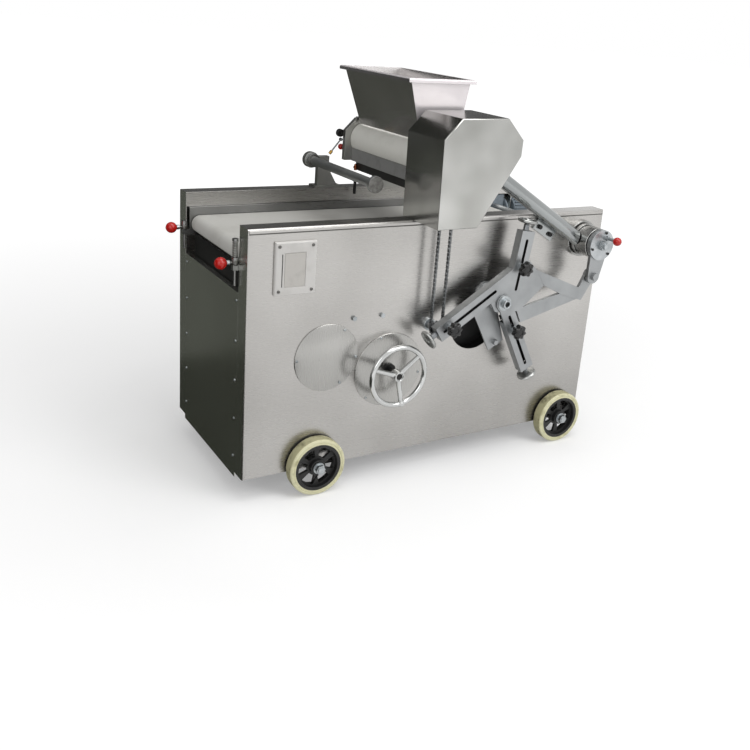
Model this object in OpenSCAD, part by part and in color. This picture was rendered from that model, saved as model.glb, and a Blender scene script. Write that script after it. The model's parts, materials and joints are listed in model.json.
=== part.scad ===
// Cookie depositor: a wheeled cabinet with a belt conveyor, a roller depositing head above the belt,
// and a slotted rocker on the front panel that an eccentric rod swings from the main shaft.
// Millimetres. Inside the modules x runs along the belt from the infeed end of the panels, y runs from
// the front panel's outer face to the rear one, z runs up from the floor. place() centres the machine.

/* [Cabinet] */
// Length of the side panels
panel_l = 1270; // [1250:1:1500]
// Height of the side panels
panel_h = 742; // [730:1:850]
// Width over both side panels
body_w = 550; // [540:1:700]
// Depth of each folded side panel
panel_depth = 57; // [52:1:70]
// Sheet thickness of the panels
sheet = 3; // [2:0.5:4]
// Height of the lip folded down inside each panel
lip_h = 45; // [30:1:45]
// Drop from the panel tops to the top of the infeed end panel
end_drop = 192; // [160:1:260]
// Radius of the access hole beside the rocker pivot
access_r = 90; // [70:1:92]

/* [Wheels] */
// Tyre diameter
wheel_d = 180; // [160:1:220]
// Wheel width
wheel_w = 40; // [30:1:50]
// Tyre thickness
tyre_t = 16; // [10:1:24]
// Axle diameter
axle_d = 20; // [14:1:26]
// First axle, from the infeed end of the panels
wheel_in = 226; // [180:1:260]
// Second axle, from the outfeed end of the panels
wheel_out = 105; // [100:1:180]
// Height of the axles above the panels' lower edge
axle_rise = 15; // [12:1:25]

/* [Conveyor] */
// Drop from the panel tops to the belt
belt_drop = 70; // [60:1:80]
// Belt width
belt_w = 406; // [380:1:408]
// Belt thickness
belt_t = 2.5; // [1.5:0.5:4]
// Diameter of the belt rollers
roller_d = 48; // [40:1:56]
// Belt nose, from the infeed end of the panels
nose_inset = 13; // [10:1:40]
// Thickness of the conveyor's side rails
rail_t = 8; // [6:1:9]
// Height of the rails above the belt
rail_rise = 25; // [10:1:28]
// Travel of the conveyor above its rest height
lift_up = 40; // [20:1:42]
// Travel of the conveyor below its rest height
lift_down = 20; // [10:1:30]

/* [Depositing head] */
// Diameter of the feed rollers
feed_d = 108; // [100:1:109]
// Distance between the feed rollers' axes
feed_pitch = 112; // [112:0.5:114]
// Height of the left feed roller's axis above the belt
feed_rise = 236; // [230:1:260]
// Thickness of the head's end plates
plate_t = 18; // [12:1:20]
// Length of the hopper's rim
rim_l = 236; // [220:1:250]
// Width of the hopper's rim
rim_w = 427; // [410:1:428]
// Height of the hopper's rim above the left feed roller's axis
rim_rise = 233; // [220:1:300]
// Wall of the hopper
hopper_wall = 2; // [1.5:0.5:4]
// Number of nozzles
nozzle_count = 8; // [4:1:10]
// Wall of the gear cover
cover_wall = 2; // [1:0.5:4]
// Reach of the gear cover in front of the front panel
cover_reach = 130; // [126:1:160]

/* [Rocker and drive] */
// Main shaft axis, from the outfeed end of the panels
shaft_inset = 90; // [86:1:110]
// Main shaft axis, below the panel tops
shaft_drop = 91; // [88:1:96]
// Main shaft diameter
shaft_d = 30; // [24:1:32]
// Throw of the eccentric
throw = 10; // [6:0.5:12]
// Width of the slotted arms
arm_w = 50; // [46:1:54]
// Thickness of the arms' and the rocker's web
web = 6; // [4:0.5:6]
// Thickness of the arms' side walls
arm_wall = 5; // [3:0.5:6]
// Width of the slots
slot_w = 10; // [8:0.5:12]
// Diameter of the star knobs
star_d = 50; // [40:1:56]
// Diameter of the dish knobs on the lead screws
dish_d = 62; // [50:1:66]
// Diameter of the lead screws
screw_d = 12; // [10:0.5:14]
// Diameter of the brace tube
tube_d = 46; // [30:1:48]

/* [Handwheel and levers] */
// Handwheel diameter
hand_d = 200; // [170:1:210]
// Thickness of the handwheel's rim
hand_tube = 13; // [10:0.5:16]
// Diameter of the handwheel's shaft
lift_d = 20; // [16:1:22]
// Diameter of the red balls on the infeed levers
ball_d = 34; // [28:1:36]
// Coils of the lever spring
spring_coils = 9; // [6:1:10]

/* [Hidden] */
$fn = 64;
// Running clearance of a shaft in its bore
fit = 0.05;
// Clearance between pieces that pass each other
gap = 0.3;
// Overrun of a cut past the face that it leaves
over = 1;

// Heights above the floor
axle_z = wheel_d / 2;
panel_z0 = axle_z - axle_rise;
panel_z1 = panel_z0 + panel_h;
belt_z = panel_z1 - belt_drop;
feed_z = belt_z + feed_rise;
shaft_z = panel_z1 - shaft_drop;

// Depths from the front panel's face
lip_front = panel_depth;
lip_rear = body_w - panel_depth;
mid_w = body_w / 2;

// The main shaft, and the places on the front panel that follow from it
shaft_x = panel_l - shaft_inset;
pivot_x = shaft_x - 362;
pivot_z = shaft_z - 166;
hand_x = pivot_x - 350;
hand_z = pivot_z - 204;
feed_x = pivot_x - 216;
access_x = pivot_x - 41;
access_z = pivot_z - 86;

// Wheels
wheel_xs = [wheel_in, panel_l - wheel_out];
wheel_gap = 2;
wheel_r = wheel_d / 2;
core_r = wheel_r - tyre_t;
core_rim = 10;
hub_r = axle_d / 2 + 14;
spoke_gap_out = core_r - core_rim - 5;
spoke_gap_in = hub_r + 6;
spoke_gap_deg = 40;
shoulder_r = axle_d / 2 + 6;
washer_r = axle_d / 2 + 8;
washer_t = 3;
nut_r = axle_d / 2 + 5;
nut_h = 14;
axle_end = wheel_gap + wheel_w + gap + washer_t + nut_h + 3;

// Base frame
base_s = 2 * axle_rise;
base_z1 = axle_z + base_s / 2;
guide_r = 12;
guide_xs = [nose_inset + 287, shaft_x - 280];

// Conveyor
belt_r = roller_d / 2 + gap + belt_t;
roller_z = belt_z - belt_r;
nose_x = nose_inset + belt_r;
drive_x = shaft_x - 53 - belt_r;
rail_gap = 3;
rail_z0 = roller_z - belt_r - 8;
rail_z1 = belt_z + rail_rise;
rail_x0 = nose_inset - 5;
rail_x1 = drive_x + belt_r + 1;
rail_y0 = lip_front + rail_gap;
rail_y1 = lip_rear - rail_gap;
belt_y0 = mid_w - belt_w / 2;
belt_y1 = mid_w + belt_w / 2;
spindle_r = 8;
bed_t = 3;
bar_half = 20;
bar_z0 = rail_z0 - 145;
bar_z1 = bar_z0 + 40;
bush_r = guide_r + 12;
bush_over = 20;
guide_top = roller_z - belt_r - lift_down - 8;

// Lift gear: a pinion on the handwheel's shaft and a rack under the conveyor
lift_r = lift_d / 2;
pinion_m = 2;
pinion_n = 15;
pinion_r = pinion_m * pinion_n / 2;
pinion_y = mid_w - 95;
pinion_w = 40;
rack_w = 20;
rack_reach = 24;
stay_y = pinion_y + pinion_w + 6;
stay_t = 10;
stay_over = 15;

// Infeed levers: a stud at each rail's end with a lever on it
stud_x = -8;
stud_r = 4;
lever_hub_r = 9;
lever_hub_h = 12;
lever_z = roller_z - 9;
lever_rod_r = 5;
lever_reach = 41;
ball_r = ball_d / 2;
collar_r = 10;
collar_h = 8;
bracket_t = 16;
bracket_w = 16;
stud_in = bracket_w / 2 - 2;
bracket_over = 8;
spring_wire = 2;
spring_od = 17;
spring_pitch = 5;
stud_nut_h = 7;
stud_low = 76;

// Depositing head
feed_r = feed_d / 2;
feed_tilt = 20;
feed2_x = feed_x + feed_pitch * cos(feed_tilt);
feed2_z = feed_z + feed_pitch * sin(feed_tilt);
feed_axes = [[feed_x, feed_z], [feed2_x, feed2_z]];
feed_shaft_r = 12;
plate_y0 = lip_front + rail_gap;
plate_y1 = lip_rear - rail_gap;
head_y0 = plate_y0 + plate_t;
head_y1 = plate_y1 - plate_t;
plate_low = feed_z - 71;
plate_top = feed_z + 67;
foot_t = 12;
neck_w = 110;
neck_near_x = feed_x - 72;
neck_far_x = feed_x + 48;
feed_end = 2;
nozzle_bar_h = 31;
nozzle_h = 25;
nozzle_x = feed_x + 55;
nozzle_bar_x0 = feed_x - 27;
nozzle_bar_x1 = nozzle_x + 43;
nozzle_end = 30;
nozzle_pitch = (head_y1 - head_y0 - 2 * nozzle_end) / (nozzle_count - 1);
manifold_low = feed_z - 72;

// Hopper
rim_z = feed_z + rim_rise;
rim_h = 12;
rim_x0 = feed_x - 99;
rim_y0 = mid_w - rim_w / 2;
rim_lap = 12;
hopper_low = feed_z + 40;

// Gears, sprockets and chain
gear_n = 28;
gear_m = feed_pitch / gear_n;
gear_y0 = 20;
gear_w = 25;
gear_hub_r = 18;
chain_pitch = 12.7;
chain_links = 39;
sprocket_n = 10;
sprocket_r = chain_pitch / (2 * sin(180 / sprocket_n));
sprocket_w = 7.2;
chain_y = -42;
chain_plate_t = 1.5;
chain_plate_h = 10;
chain_inner = sprocket_w + 2 * gap;
chain_pin_r = 2.2;
chain_z = feed_z - chain_links * chain_pitch;
chain_stud_r = 8;
chain_foot_t = 8;
chain_hub_r = sprocket_r - chain_plate_h / 2 - 1.5;

// Gear cover outline around the left feed roller's axis, from its lower left corner
cover_low = panel_z1 - feed_z;
cover_outline = [[-87, cover_low], [50, cover_low], [183, 39], [184, 86],
                 [124, 147], [-36, 145], [-91, 86]];

// Rocker and arms: distances in front of the panel, and outlines around the pivot
arm_front = -84;
arm_back = -54;
web_back = arm_front + web;
hook_back = -72;
brace_back = -66;
lower_front = arm_front - web;
boss_r = 30;
boss_back = -40;
pivot_r = 16;
hub_outline = [[-60, 20], [-28, -28], [17, -35], [68, -33], [157, 42], [119, 97], [85, 130], [35, 130],
               [20, 100]];
hook_outline = [[119, 97], [308, 22], [332, 70], [370, 50], [324, -23], [229, 8], [157, 42], [100, 60]];
brace_outline = [[60, -30], [83, -76], [313, -18], [240, 8]];
ear_outline = [[-90, -30], [-81, -49], [-14, -167], [40, -138], [0, -20], [-40, 20]];
ear_stud = [4, -139];
rod_pin = [350, 61];
rod_pin_r = 8;

// Each arm: start of its slot from the pivot, direction, slot length, end, rest place of its block,
// and where its web and its walls start
up_arm = [[44, 40], 82.2, 155, 185, 72, -40, 64];
left_arm = [[-36, 39], 211.8, 207, 229, 186, -88, 24];
low_arm = [[27, -48], -62.2, 187, 211, 50, -55, 12];
screw_y = (arm_front + web + arm_back) / 2;
screw_r = screw_d / 2;
block_l = 40;
arm_edge = 0.4;
block_w = arm_w - 2 * arm_wall - 2 * arm_edge - 4 * gap;
clamp_r = slot_w / 2 - 2 * fit;
stud_out = 34;
end_t = 6;
dish_r = dish_d / 2;
star_r = star_d / 2;

// Main shaft, its housing and the eccentric rod
shaft_r = shaft_d / 2;
drum_r = 50;
drum_front = -82;
ring_r = drum_r + 4;
drum_flange_r = drum_r + 10;
drum_flange_t = 12;
rod_back = -88;
rod_front = -100;
ecc_r = 21;
strap_r = 43;
disc_r = 50;
disc_front = -106;
shaft_front_r = 10;
index_at = [17, 23];
index_r = 5;
index_ball_r = 14;
index_ball_y = -153;

// Brace tube from the gear cover to the drum
tube_y = -30;
tube_from = [feed_x + 143, feed_z - 13];
tube_to = [shaft_x - 62, shaft_z + 19];
tube_run = [tube_to[0] - tube_from[0], tube_to[1] - tube_from[1]];
tube_len = norm(tube_run);
tube_deg = atan2(tube_run[1], tube_run[0]);

// Cross bar and its post on the rear panel
bar_x = feed_x - 176;
bar_z = panel_z1 + 92;
bar_r = 14;
post_y0 = lip_rear + 7;
post_t = 20;

// Gear motor: worm gearbox in the rear panel's fold, motor past its end
box_t = panel_depth - sheet - 4;
motor_y = body_w - panel_depth / 2;
motor_z = shaft_z - 19;
motor_r = 57;
motor_neck_r = 22;
motor_x0 = panel_l + 5;
motor_x1 = motor_x0 + 75;

// Handwheel
hand_r = hand_d / 2;
hand_y = -62;
hand_hub_r = 17;
hand_plate_r = 117;
cover_r = 103;
cover_x = hand_x - 214;
cover_z = hand_z + 66;
cover_t = 3;

// The machine's own extremes give its middle
low_x = stud_x - lever_reach - ball_r;
high_x = motor_x1;
low_y = index_ball_y - index_ball_r;
high_y = body_w + axle_end;

// Moves the machine so that its origin lies on the floor under its middle
module place() {
    translate([-(low_x + high_x) / 2, -(low_y + high_y) / 2, 0]) children();
}

// A box given by its two corners on each axis
module box(x0, x1, y0, y1, z0, z1) {
    translate([x0, y0, z0]) cube([x1 - x0, y1 - y0, z1 - z0]);
}

// A round bar along y
module bar_y(x, z, r, y0, y1) {
    translate([x, y0, z]) rotate([-90, 0, 0]) cylinder(r = r, h = y1 - y0);
}

// A round bar along x
module bar_x(y, z, r, x0, x1) {
    translate([x0, y, z]) rotate([0, 90, 0]) cylinder(r = r, h = x1 - x0);
}

// An upright round bar
module bar_z(x, y, r, z0, z1) {
    translate([x, y, z0]) cylinder(r = r, h = z1 - z0);
}

// A hexagon along y
module hex_y(x, z, r, y0, y1) {
    translate([x, y0, z]) rotate([-90, 0, 0]) cylinder(r = r, h = y1 - y0, $fn = 6);
}

// An outline in the upright x, z plane, drawn from y0 to y1
module slab_y(y0, y1) {
    translate([0, y1, 0]) rotate([90, 0, 0]) linear_extrude(y1 - y0) children();
}

// The same thing at the rear panel
module at_rear() {
    translate([0, body_w, 0]) mirror([0, 1, 0]) children();
}

// The frame of an arm: its slot starts at the origin and runs along x
module along_arm(arm) {
    translate([pivot_x + arm[0][0], 0, pivot_z + arm[0][1]]) rotate([0, -arm[1], 0]) children();
}

// Crossing of two lines, each given by a point and a direction
function cross2(a, b) = a[0] * b[1] - a[1] * b[0];
function meet(p, d, q, e) = p + d * cross2(q - p, e) / cross2(d, e);

// A convex outline, running anticlockwise, with every side moved inwards
function inset(points, t) = let (n = len(points)) [
    for (i = [0 : n - 1])
        let (a = points[(i + n - 1) % n], b = points[i], c = points[(i + 1) % n],
             d = b - a, e = c - b,
             move_d = [-d[1], d[0]] * t / norm(d), move_e = [-e[1], e[0]] * t / norm(e))
        meet(b + move_d, d, b + move_e, e)];

// Straight-sided spur teeth on a disc, with backlash, around the origin
module gear_outline(n, m, backlash) {
    pitch_r = n * m / 2;
    root_r = pitch_r - 1.25 * m;
    tip_r = pitch_r + 0.8 * m;
    half = PI * m / 4 - backlash / 2;
    slope = tan(20);
    circle(r = root_r);
    for (i = [0 : n - 1])
        rotate(i * 360 / n)
            polygon([[root_r - m, -half - slope * 1.25 * m], [tip_r, -half + slope * 0.8 * m],
                     [tip_r, half - slope * 0.8 * m], [root_r - m, half + slope * 1.25 * m]]);
}

// Chain sprocket outline around the origin
module sprocket_outline() {
    root_r = sprocket_r - 4.2;
    tip_r = sprocket_r + 3;
    circle(r = root_r);
    for (i = [0 : sprocket_n - 1])
        rotate((i + 0.5) * 360 / sprocket_n)
            polygon([[root_r - 2, -3.6], [tip_r, -1.2], [tip_r, 1.2], [root_r - 2, 3.6]]);
}

// Folded side panel standing at the front, with its axle holes
module side_panel() {
    difference() {
        union() {
            box(0, panel_l, 0, sheet, panel_z0, panel_z1);
            box(0, panel_l, 0, panel_depth, panel_z1 - sheet, panel_z1);
            box(0, panel_l, panel_depth - sheet, panel_depth, panel_z1 - lip_h, panel_z1);
            box(0, sheet, 0, panel_depth, panel_z0, panel_z1);
            box(panel_l - sheet, panel_l, 0, panel_depth, panel_z0, panel_z1);
        }
        for (x = wheel_xs) bar_y(x, axle_z, axle_d / 2 + fit, -over, sheet + over);
    }
}

module front_panel() {
    // Material left behind the inspection cover's edge
    cover_lap = 35;
    color("lightgray") place() difference() {
        side_panel();
        bar_y(cover_x, cover_z, cover_r - cover_lap, -over, sheet + over);
        bar_y(access_x, access_z, access_r, -over, sheet + over);
        bar_y(hand_x, hand_z, lift_r + fit, -over, sheet + over);
        bar_y(shaft_x, shaft_z, shaft_r + over, -over, sheet + over);
    }
}

module rear_panel() {
    color("lightgray") place() difference() {
        at_rear() side_panel();
        bar_x(motor_y, motor_z, motor_neck_r + over, panel_l - sheet - over, panel_l + over);
    }
}

// End panel between the side panels, its top folded inwards
module end_panel() {
    end_z1 = panel_z1 - end_drop;
    fold = 20;
    box(0, sheet, lip_front, lip_rear, panel_z0 - axle_rise, end_z1);
    box(0, fold, lip_front, lip_rear, end_z1 - sheet, end_z1);
}

module infeed_end_panel() { color("darkgray") place() end_panel(); }

module outfeed_end_panel() {
    color("darkgray") place() translate([panel_l, 0, 0]) mirror([1, 0, 0]) end_panel();
}

module base_frame() {
    rail_in = sheet + base_s;
    color("dimgray") place() difference() {
        union() {
            for (y0 = [sheet, body_w - rail_in])
                box(sheet, panel_l - sheet, y0, y0 + base_s, axle_z - base_s / 2, base_z1);
            for (x = [guide_xs[0], hand_x, guide_xs[1]])
                box(x - base_s / 2, x + base_s / 2, rail_in, body_w - rail_in,
                    axle_z - base_s / 2, base_z1);
            for (x = guide_xs) bar_z(x, mid_w, guide_r, base_z1, guide_top);
            box(hand_x - bar_half, hand_x + bar_half, stay_y, stay_y + stay_t,
                base_z1, hand_z + lift_r + stay_over);
        }
        for (x = wheel_xs) bar_y(x, axle_z, axle_d / 2 + fit, 0, body_w);
        bar_y(hand_x, hand_z, lift_r + fit, stay_y - over, stay_y + stay_t + over);
    }
}

module wheel_axles() {
    face = wheel_gap + wheel_w + gap;
    color("silver") place() for (x = wheel_xs) {
        bar_y(x, axle_z, axle_d / 2, -axle_end, body_w + axle_end);
        for (side = [0, 1])
            translate([0, side * body_w, 0]) mirror([0, side, 0]) {
                bar_y(x, axle_z, shoulder_r, -wheel_gap + gap, 0);
                bar_y(x, axle_z, washer_r, -face - washer_t, -face);
                hex_y(x, axle_z, nut_r, -face - washer_t - nut_h, -face - washer_t);
            }
    }
}

// A tyre around the y axis, with bevelled shoulders
module tyre() {
    r0 = core_r + fit;
    bevel = 3;
    rotate([90, 0, 0]) rotate_extrude()
        polygon([[r0, -wheel_w / 2], [wheel_r - bevel, -wheel_w / 2], [wheel_r, bevel * 2 - wheel_w / 2],
                 [wheel_r, wheel_w / 2 - bevel * 2], [wheel_r - bevel, wheel_w / 2], [r0, wheel_w / 2]]);
}

// A wheel core around the y axis: rim, web with six openings, and hub
module core() {
    web_t = 10;
    difference() {
        bar_y(0, 0, core_r, -wheel_w / 2 + over, wheel_w / 2 - over);
        for (side = [0, 1])
            mirror([0, side, 0]) difference() {
                bar_y(0, 0, core_r - core_rim, web_t / 2, wheel_w);
                bar_y(0, 0, hub_r, 0, wheel_w / 2);
            }
        for (i = [0 : 5])
            rotate([0, i * 60, 0]) slab_y(-web_t, web_t) intersection() {
                difference() {
                    circle(r = spoke_gap_out);
                    circle(r = spoke_gap_in);
                }
                polygon([[0, 0], [wheel_r, -wheel_r * tan(spoke_gap_deg / 2)],
                         [wheel_r, wheel_r * tan(spoke_gap_deg / 2)]]);
            }
        bar_y(0, 0, axle_d / 2 + fit, -wheel_w, wheel_w);
    }
}

// Puts a wheel's piece on its axle: rear is 0 or 1, axle is 0 or 1
module on_axle(rear, axle) {
    y = -wheel_gap - wheel_w / 2;
    place() translate([wheel_xs[axle], rear == 0 ? y : body_w - y, axle_z]) children();
}

module tyre_front_in() { color("wheat") on_axle(0, 0) tyre(); }
module tyre_front_out() { color("wheat") on_axle(0, 1) tyre(); }
module tyre_rear_in() { color("wheat") on_axle(1, 0) tyre(); }
module tyre_rear_out() { color("wheat") on_axle(1, 1) tyre(); }
module core_front_in() { color("black") on_axle(0, 0) core(); }
module core_front_out() { color("black") on_axle(0, 1) core(); }
module core_rear_in() { color("black") on_axle(1, 0) core(); }
module core_rear_out() { color("black") on_axle(1, 1) core(); }

module inspection_cover() {
    color("gainsboro") place() bar_y(cover_x, cover_z, cover_r, -cover_t, 0);
}

module handwheel_backplate() {
    color("gainsboro") place() difference() {
        bar_y(hand_x, hand_z, hand_plate_r, -cover_t, 0);
        bar_y(hand_x, hand_z, lift_r + fit, -cover_t - over, over);
    }
}

// Bare plate with a recessed window
plate_x0 = 77;
window_left = 28;
window_right = 32;
window_low = 21;
window_top = 31;
plate_w = 124;
plate_h = 151;
plate_z1 = panel_z1 - 38;
plate_out = 10;
module name_plate() {
    recess = 2;
    color("whitesmoke") place() difference() {
        box(plate_x0, plate_x0 + plate_w, -plate_out, 0, plate_z1 - plate_h, plate_z1);
        box(plate_x0 + window_left, plate_x0 + plate_w - window_right,
            -plate_out - over, recess - plate_out, plate_z1 - plate_h + window_low, plate_z1 - window_top);
    }
}

// Screw heads of the covers, the plate and the infeed end panel, and two panel bolts
module panel_screws() {
    head_r = 4;
    head_h = 2.5;
    edge = 6.5;
    bolt_r = 8;
    bolt_z = pivot_z - 26;
    bolt_xs = [hand_x - 131, hand_x - 36];
    corner = 12;
    end_edge = 12;
    end_first = panel_z0 + 50;
    end_step = (panel_h - end_drop - 90) / 4;
    color("silver") place() {
        for (a = [56, 179, -61, -5])
            bar_y(cover_x + (cover_r - edge) * cos(a), cover_z + (cover_r - edge) * sin(a),
                  head_r, -cover_t - head_h, -cover_t);
        for (a = [108, 228, 348])
            bar_y(hand_x + (hand_plate_r - edge) * cos(a), hand_z + (hand_plate_r - edge) * sin(a),
                  head_r, -cover_t - head_h, -cover_t);
        for (x = [plate_x0 + corner, plate_x0 + plate_w - corner],
             z = [plate_z1 - corner, plate_z1 - plate_h + corner])
            bar_y(x, z, head_r, -plate_out - head_h, -plate_out);
        for (x = bolt_xs) hex_y(x, bolt_z, bolt_r, -bolt_r, 0);
        for (i = [0 : 4], y = [lip_front + end_edge, lip_rear - end_edge])
            bar_x(y, end_first + i * end_step, head_r, -head_h, 0);
    }
}

// Outline of a head plate, with the two shaft bores left to the modules that use it
plate_outline = [[-72, -71], [184, -71], [184, 60], [158, 86], [40, 86], [18, 67], [-32, 67], [-72, 27]];
module head_plate_blank(neck_x) {
    slab_y(plate_y0, plate_y0 + plate_t) translate([feed_x, feed_z]) polygon(plate_outline);
    box(neck_x, neck_x + neck_w, plate_y0, plate_y0 + plate_t, panel_z1, plate_low + over);
    box(neck_x, neck_x + neck_w, panel_depth / 5, plate_y0 + plate_t, panel_z1, panel_z1 + foot_t);
}

module near_head_plate() {
    color("silver") place() difference() {
        head_plate_blank(neck_near_x);
        for (a = feed_axes)
            bar_y(a[0], a[1], feed_shaft_r + fit, plate_y0 - over, plate_y0 + plate_t + over);
    }
}

module far_head_plate() {
    color("silver") place() difference() {
        at_rear() head_plate_blank(neck_far_x);
        for (a = feed_axes) bar_y(a[0], a[1], feed_shaft_r + fit, head_y1 - over, plate_y1 + over);
    }
}

// Funnel between two heights: x sides given at the rim, y sides leaning alike
module funnel(t, z0, z1) {
    lean_left = 0.33;
    lean_right = -0.11;
    lean_y = 0.1;
    depth = rim_z - z0;
    x0 = rim_x0 + rim_lap + t;
    x1 = rim_x0 + rim_l - rim_lap - t;
    y0 = rim_y0 + rim_lap + t;
    y1 = rim_y0 + rim_w - rim_lap - t;
    intersection() {
        slab_y(0, body_w)
            polygon([[x0, z1], [x0, rim_z], [x0 + lean_left * depth, z0],
                     [x1 + lean_right * depth, z0], [x1, rim_z], [x1, z1]]);
        rotate([90, 0, 90]) linear_extrude(panel_l)
            polygon([[y0, z1], [y0, rim_z], [y0 + lean_y * depth, z0],
                     [y1 - lean_y * depth, z0], [y1, rim_z], [y1, z1]]);
    }
}

module hopper() {
    tab_x0 = feed_x - 28;
    tab_x1 = feed_x + 10;
    tab_t = 3;
    // The funnel ends above a plane that clears both rollers
    clear = feed_r + 3;
    color("gainsboro") place() difference() {
        union() {
            funnel(0, hopper_low, rim_z);
            box(rim_x0, rim_x0 + rim_l, rim_y0, rim_y0 + rim_w, rim_z - rim_h, rim_z);
            box(tab_x0, tab_x1, plate_y0, plate_y1, plate_top, plate_top + tab_t);
        }
        funnel(hopper_wall, hopper_low - over, rim_z + over);
        translate([feed_x, 0, feed_z]) rotate([0, -feed_tilt, 0])
            box(-panel_depth * 3, panel_depth * 5, 0, body_w, -panel_depth, clear);
    }
}

// Outline of the block under the rollers, around the left feed roller's axis
manifold_outline = [[-46, -72], [158, -72], [158, 2], [-46, -30]];
// Block under the rollers, hollowed to their shape, with the dough channel down its middle
module manifold() {
    slit = 10;
    end_wall = 22;
    mid_x = (feed_x + feed2_x) / 2;
    color("dimgray") place() difference() {
        slab_y(head_y0, head_y1) translate([feed_x, feed_z])
            polygon(manifold_outline);
        for (a = feed_axes) bar_y(a[0], a[1], feed_r + 2 * gap, head_y0 - over, head_y1 + over);
        box(mid_x - slit / 2, mid_x + slit / 2, head_y0 + end_wall, head_y1 - end_wall,
            plate_low - 2 * over, feed_z);
    }
}

// Nozzle bar with its row of nozzles
module nozzles() {
    z0 = manifold_low - nozzle_bar_h;
    bore = 5;
    tip_r = 9;
    root_r = 15;
    color([0.08, 0.08, 0.09]) place() difference() {
        union() {
            box(nozzle_bar_x0, nozzle_bar_x1, head_y0, head_y1, z0, manifold_low);
            for (i = [0 : nozzle_count - 1])
                translate([nozzle_x, head_y0 + nozzle_end + i * nozzle_pitch, z0 - nozzle_h])
                    cylinder(r1 = tip_r, r2 = root_r, h = nozzle_h);
        }
        for (i = [0 : nozzle_count - 1])
            bar_z(nozzle_x, head_y0 + nozzle_end + i * nozzle_pitch, bore,
                  z0 - nozzle_h - over, manifold_low + over);
    }
}

module gear_cover() {
    inner = inset(cover_outline, cover_wall);
    color("gainsboro") place() difference() {
        slab_y(-cover_reach, plate_y0) translate([feed_x, feed_z]) polygon(cover_outline);
        slab_y(cover_wall - cover_reach, plate_y0 + over) translate([feed_x, feed_z]) polygon(inner);
        // The bottom is open to the chain
        slab_y(cover_wall - cover_reach, plate_y0 + over) translate([feed_x, feed_z])
            polygon([[inner[0][0], cover_low - over], [inner[1][0], cover_low - over], inner[1], inner[0]]);
    }
}

// Flange and shoulder of the rocker pivot, and the lower sprocket's stud
module panel_studs() {
    flange_r = boss_r + 15;
    flange_t = 10;
    washer_r = pivot_r + 8;
    washer_t = 3;
    washer_y = lower_front - gap;
    head_r = pivot_r - 1;
    head_h = 13;
    foot_r = chain_stud_r + 12;
    cap_r = chain_stud_r + 4;
    cap_t = 2;
    cap_y = chain_y - sprocket_w / 2 - gap;
    color("silver") place() {
        bar_y(pivot_x, pivot_z, flange_r, -flange_t, 0);
        bar_y(pivot_x, pivot_z, boss_r, boss_back + gap, 0);
        bar_y(pivot_x, pivot_z, pivot_r, washer_y, 0);
        bar_y(pivot_x, pivot_z, washer_r, washer_y - washer_t, washer_y);
        hex_y(pivot_x, pivot_z, head_r, washer_y - washer_t - head_h, washer_y - washer_t);
        bar_y(feed_x, chain_z, foot_r, -chain_foot_t, 0);
        bar_y(feed_x, chain_z, chain_stud_r, cap_y - cap_t, 0);
        bar_y(feed_x, chain_z, cap_r, cap_y - cap_t, cap_y);
    }
}

module shaft_housing() {
    neck_r = drum_r - 4;
    ring_y0 = -30;
    ring_y1 = -18;
    drum_back = -36;
    color([0.3, 0.31, 0.32]) place() difference() {
        union() {
            bar_y(shaft_x, shaft_z, drum_flange_r, -drum_flange_t, 0);
            bar_y(shaft_x, shaft_z, neck_r, drum_front, 0);
            bar_y(shaft_x, shaft_z, ring_r, ring_y0, ring_y1);
            bar_y(shaft_x, shaft_z, drum_r, drum_front, drum_back);
        }
        bar_y(shaft_x, shaft_z, shaft_r + fit, drum_front - over, over);
    }
}

// Tube from the cover's sloping side to the drum, with its bracket on the panel
module brace_tube() {
    wall_t = 3;
    run_in = 40;
    foot_from = 0.67 * tube_len;
    foot_l = 92;
    foot_t = 8;
    foot_low = 56;
    foot_high = 8;
    lug = [20, 60, 6];
    bolt_in = 20;
    bolt_low = 40;
    bolt_r = 8;
    foot_y = -tube_y - foot_t;
    color("silver") place() difference() {
        union() {
            translate([tube_from[0], tube_y, tube_from[1]]) rotate([0, -tube_deg, 0]) {
                difference() {
                    bar_x(0, 0, tube_d / 2, -run_in, tube_len + run_in);
                    bar_x(0, 0, tube_d / 2 - wall_t, -run_in - over, tube_len + run_in + over);
                }
                box(foot_from, foot_from + foot_l, foot_y, -tube_y, -foot_low, foot_high);
                difference() {
                    box(foot_from + lug[0], foot_from + lug[0] + lug[1], 0, foot_y + over, -lug[2], lug[2]);
                    bar_x(0, 0, tube_d / 2 - wall_t, foot_from, foot_from + foot_l);
                }
                for (s = [foot_from + bolt_in, foot_from + foot_l - bolt_in])
                    hex_y(s, -bolt_low, bolt_r, foot_y - bolt_r, foot_y);
            }
        }
        slab_y(tube_y - tube_d, tube_y + tube_d) translate([feed_x, feed_z])
            polygon(inset(cover_outline, -gap));
        bar_y(shaft_x, shaft_z, ring_r + gap, tube_y - tube_d, tube_y + tube_d);
        bar_y(shaft_x, shaft_z, drum_flange_r + gap, -drum_flange_t - gap, tube_y + tube_d);
    }
}

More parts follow.
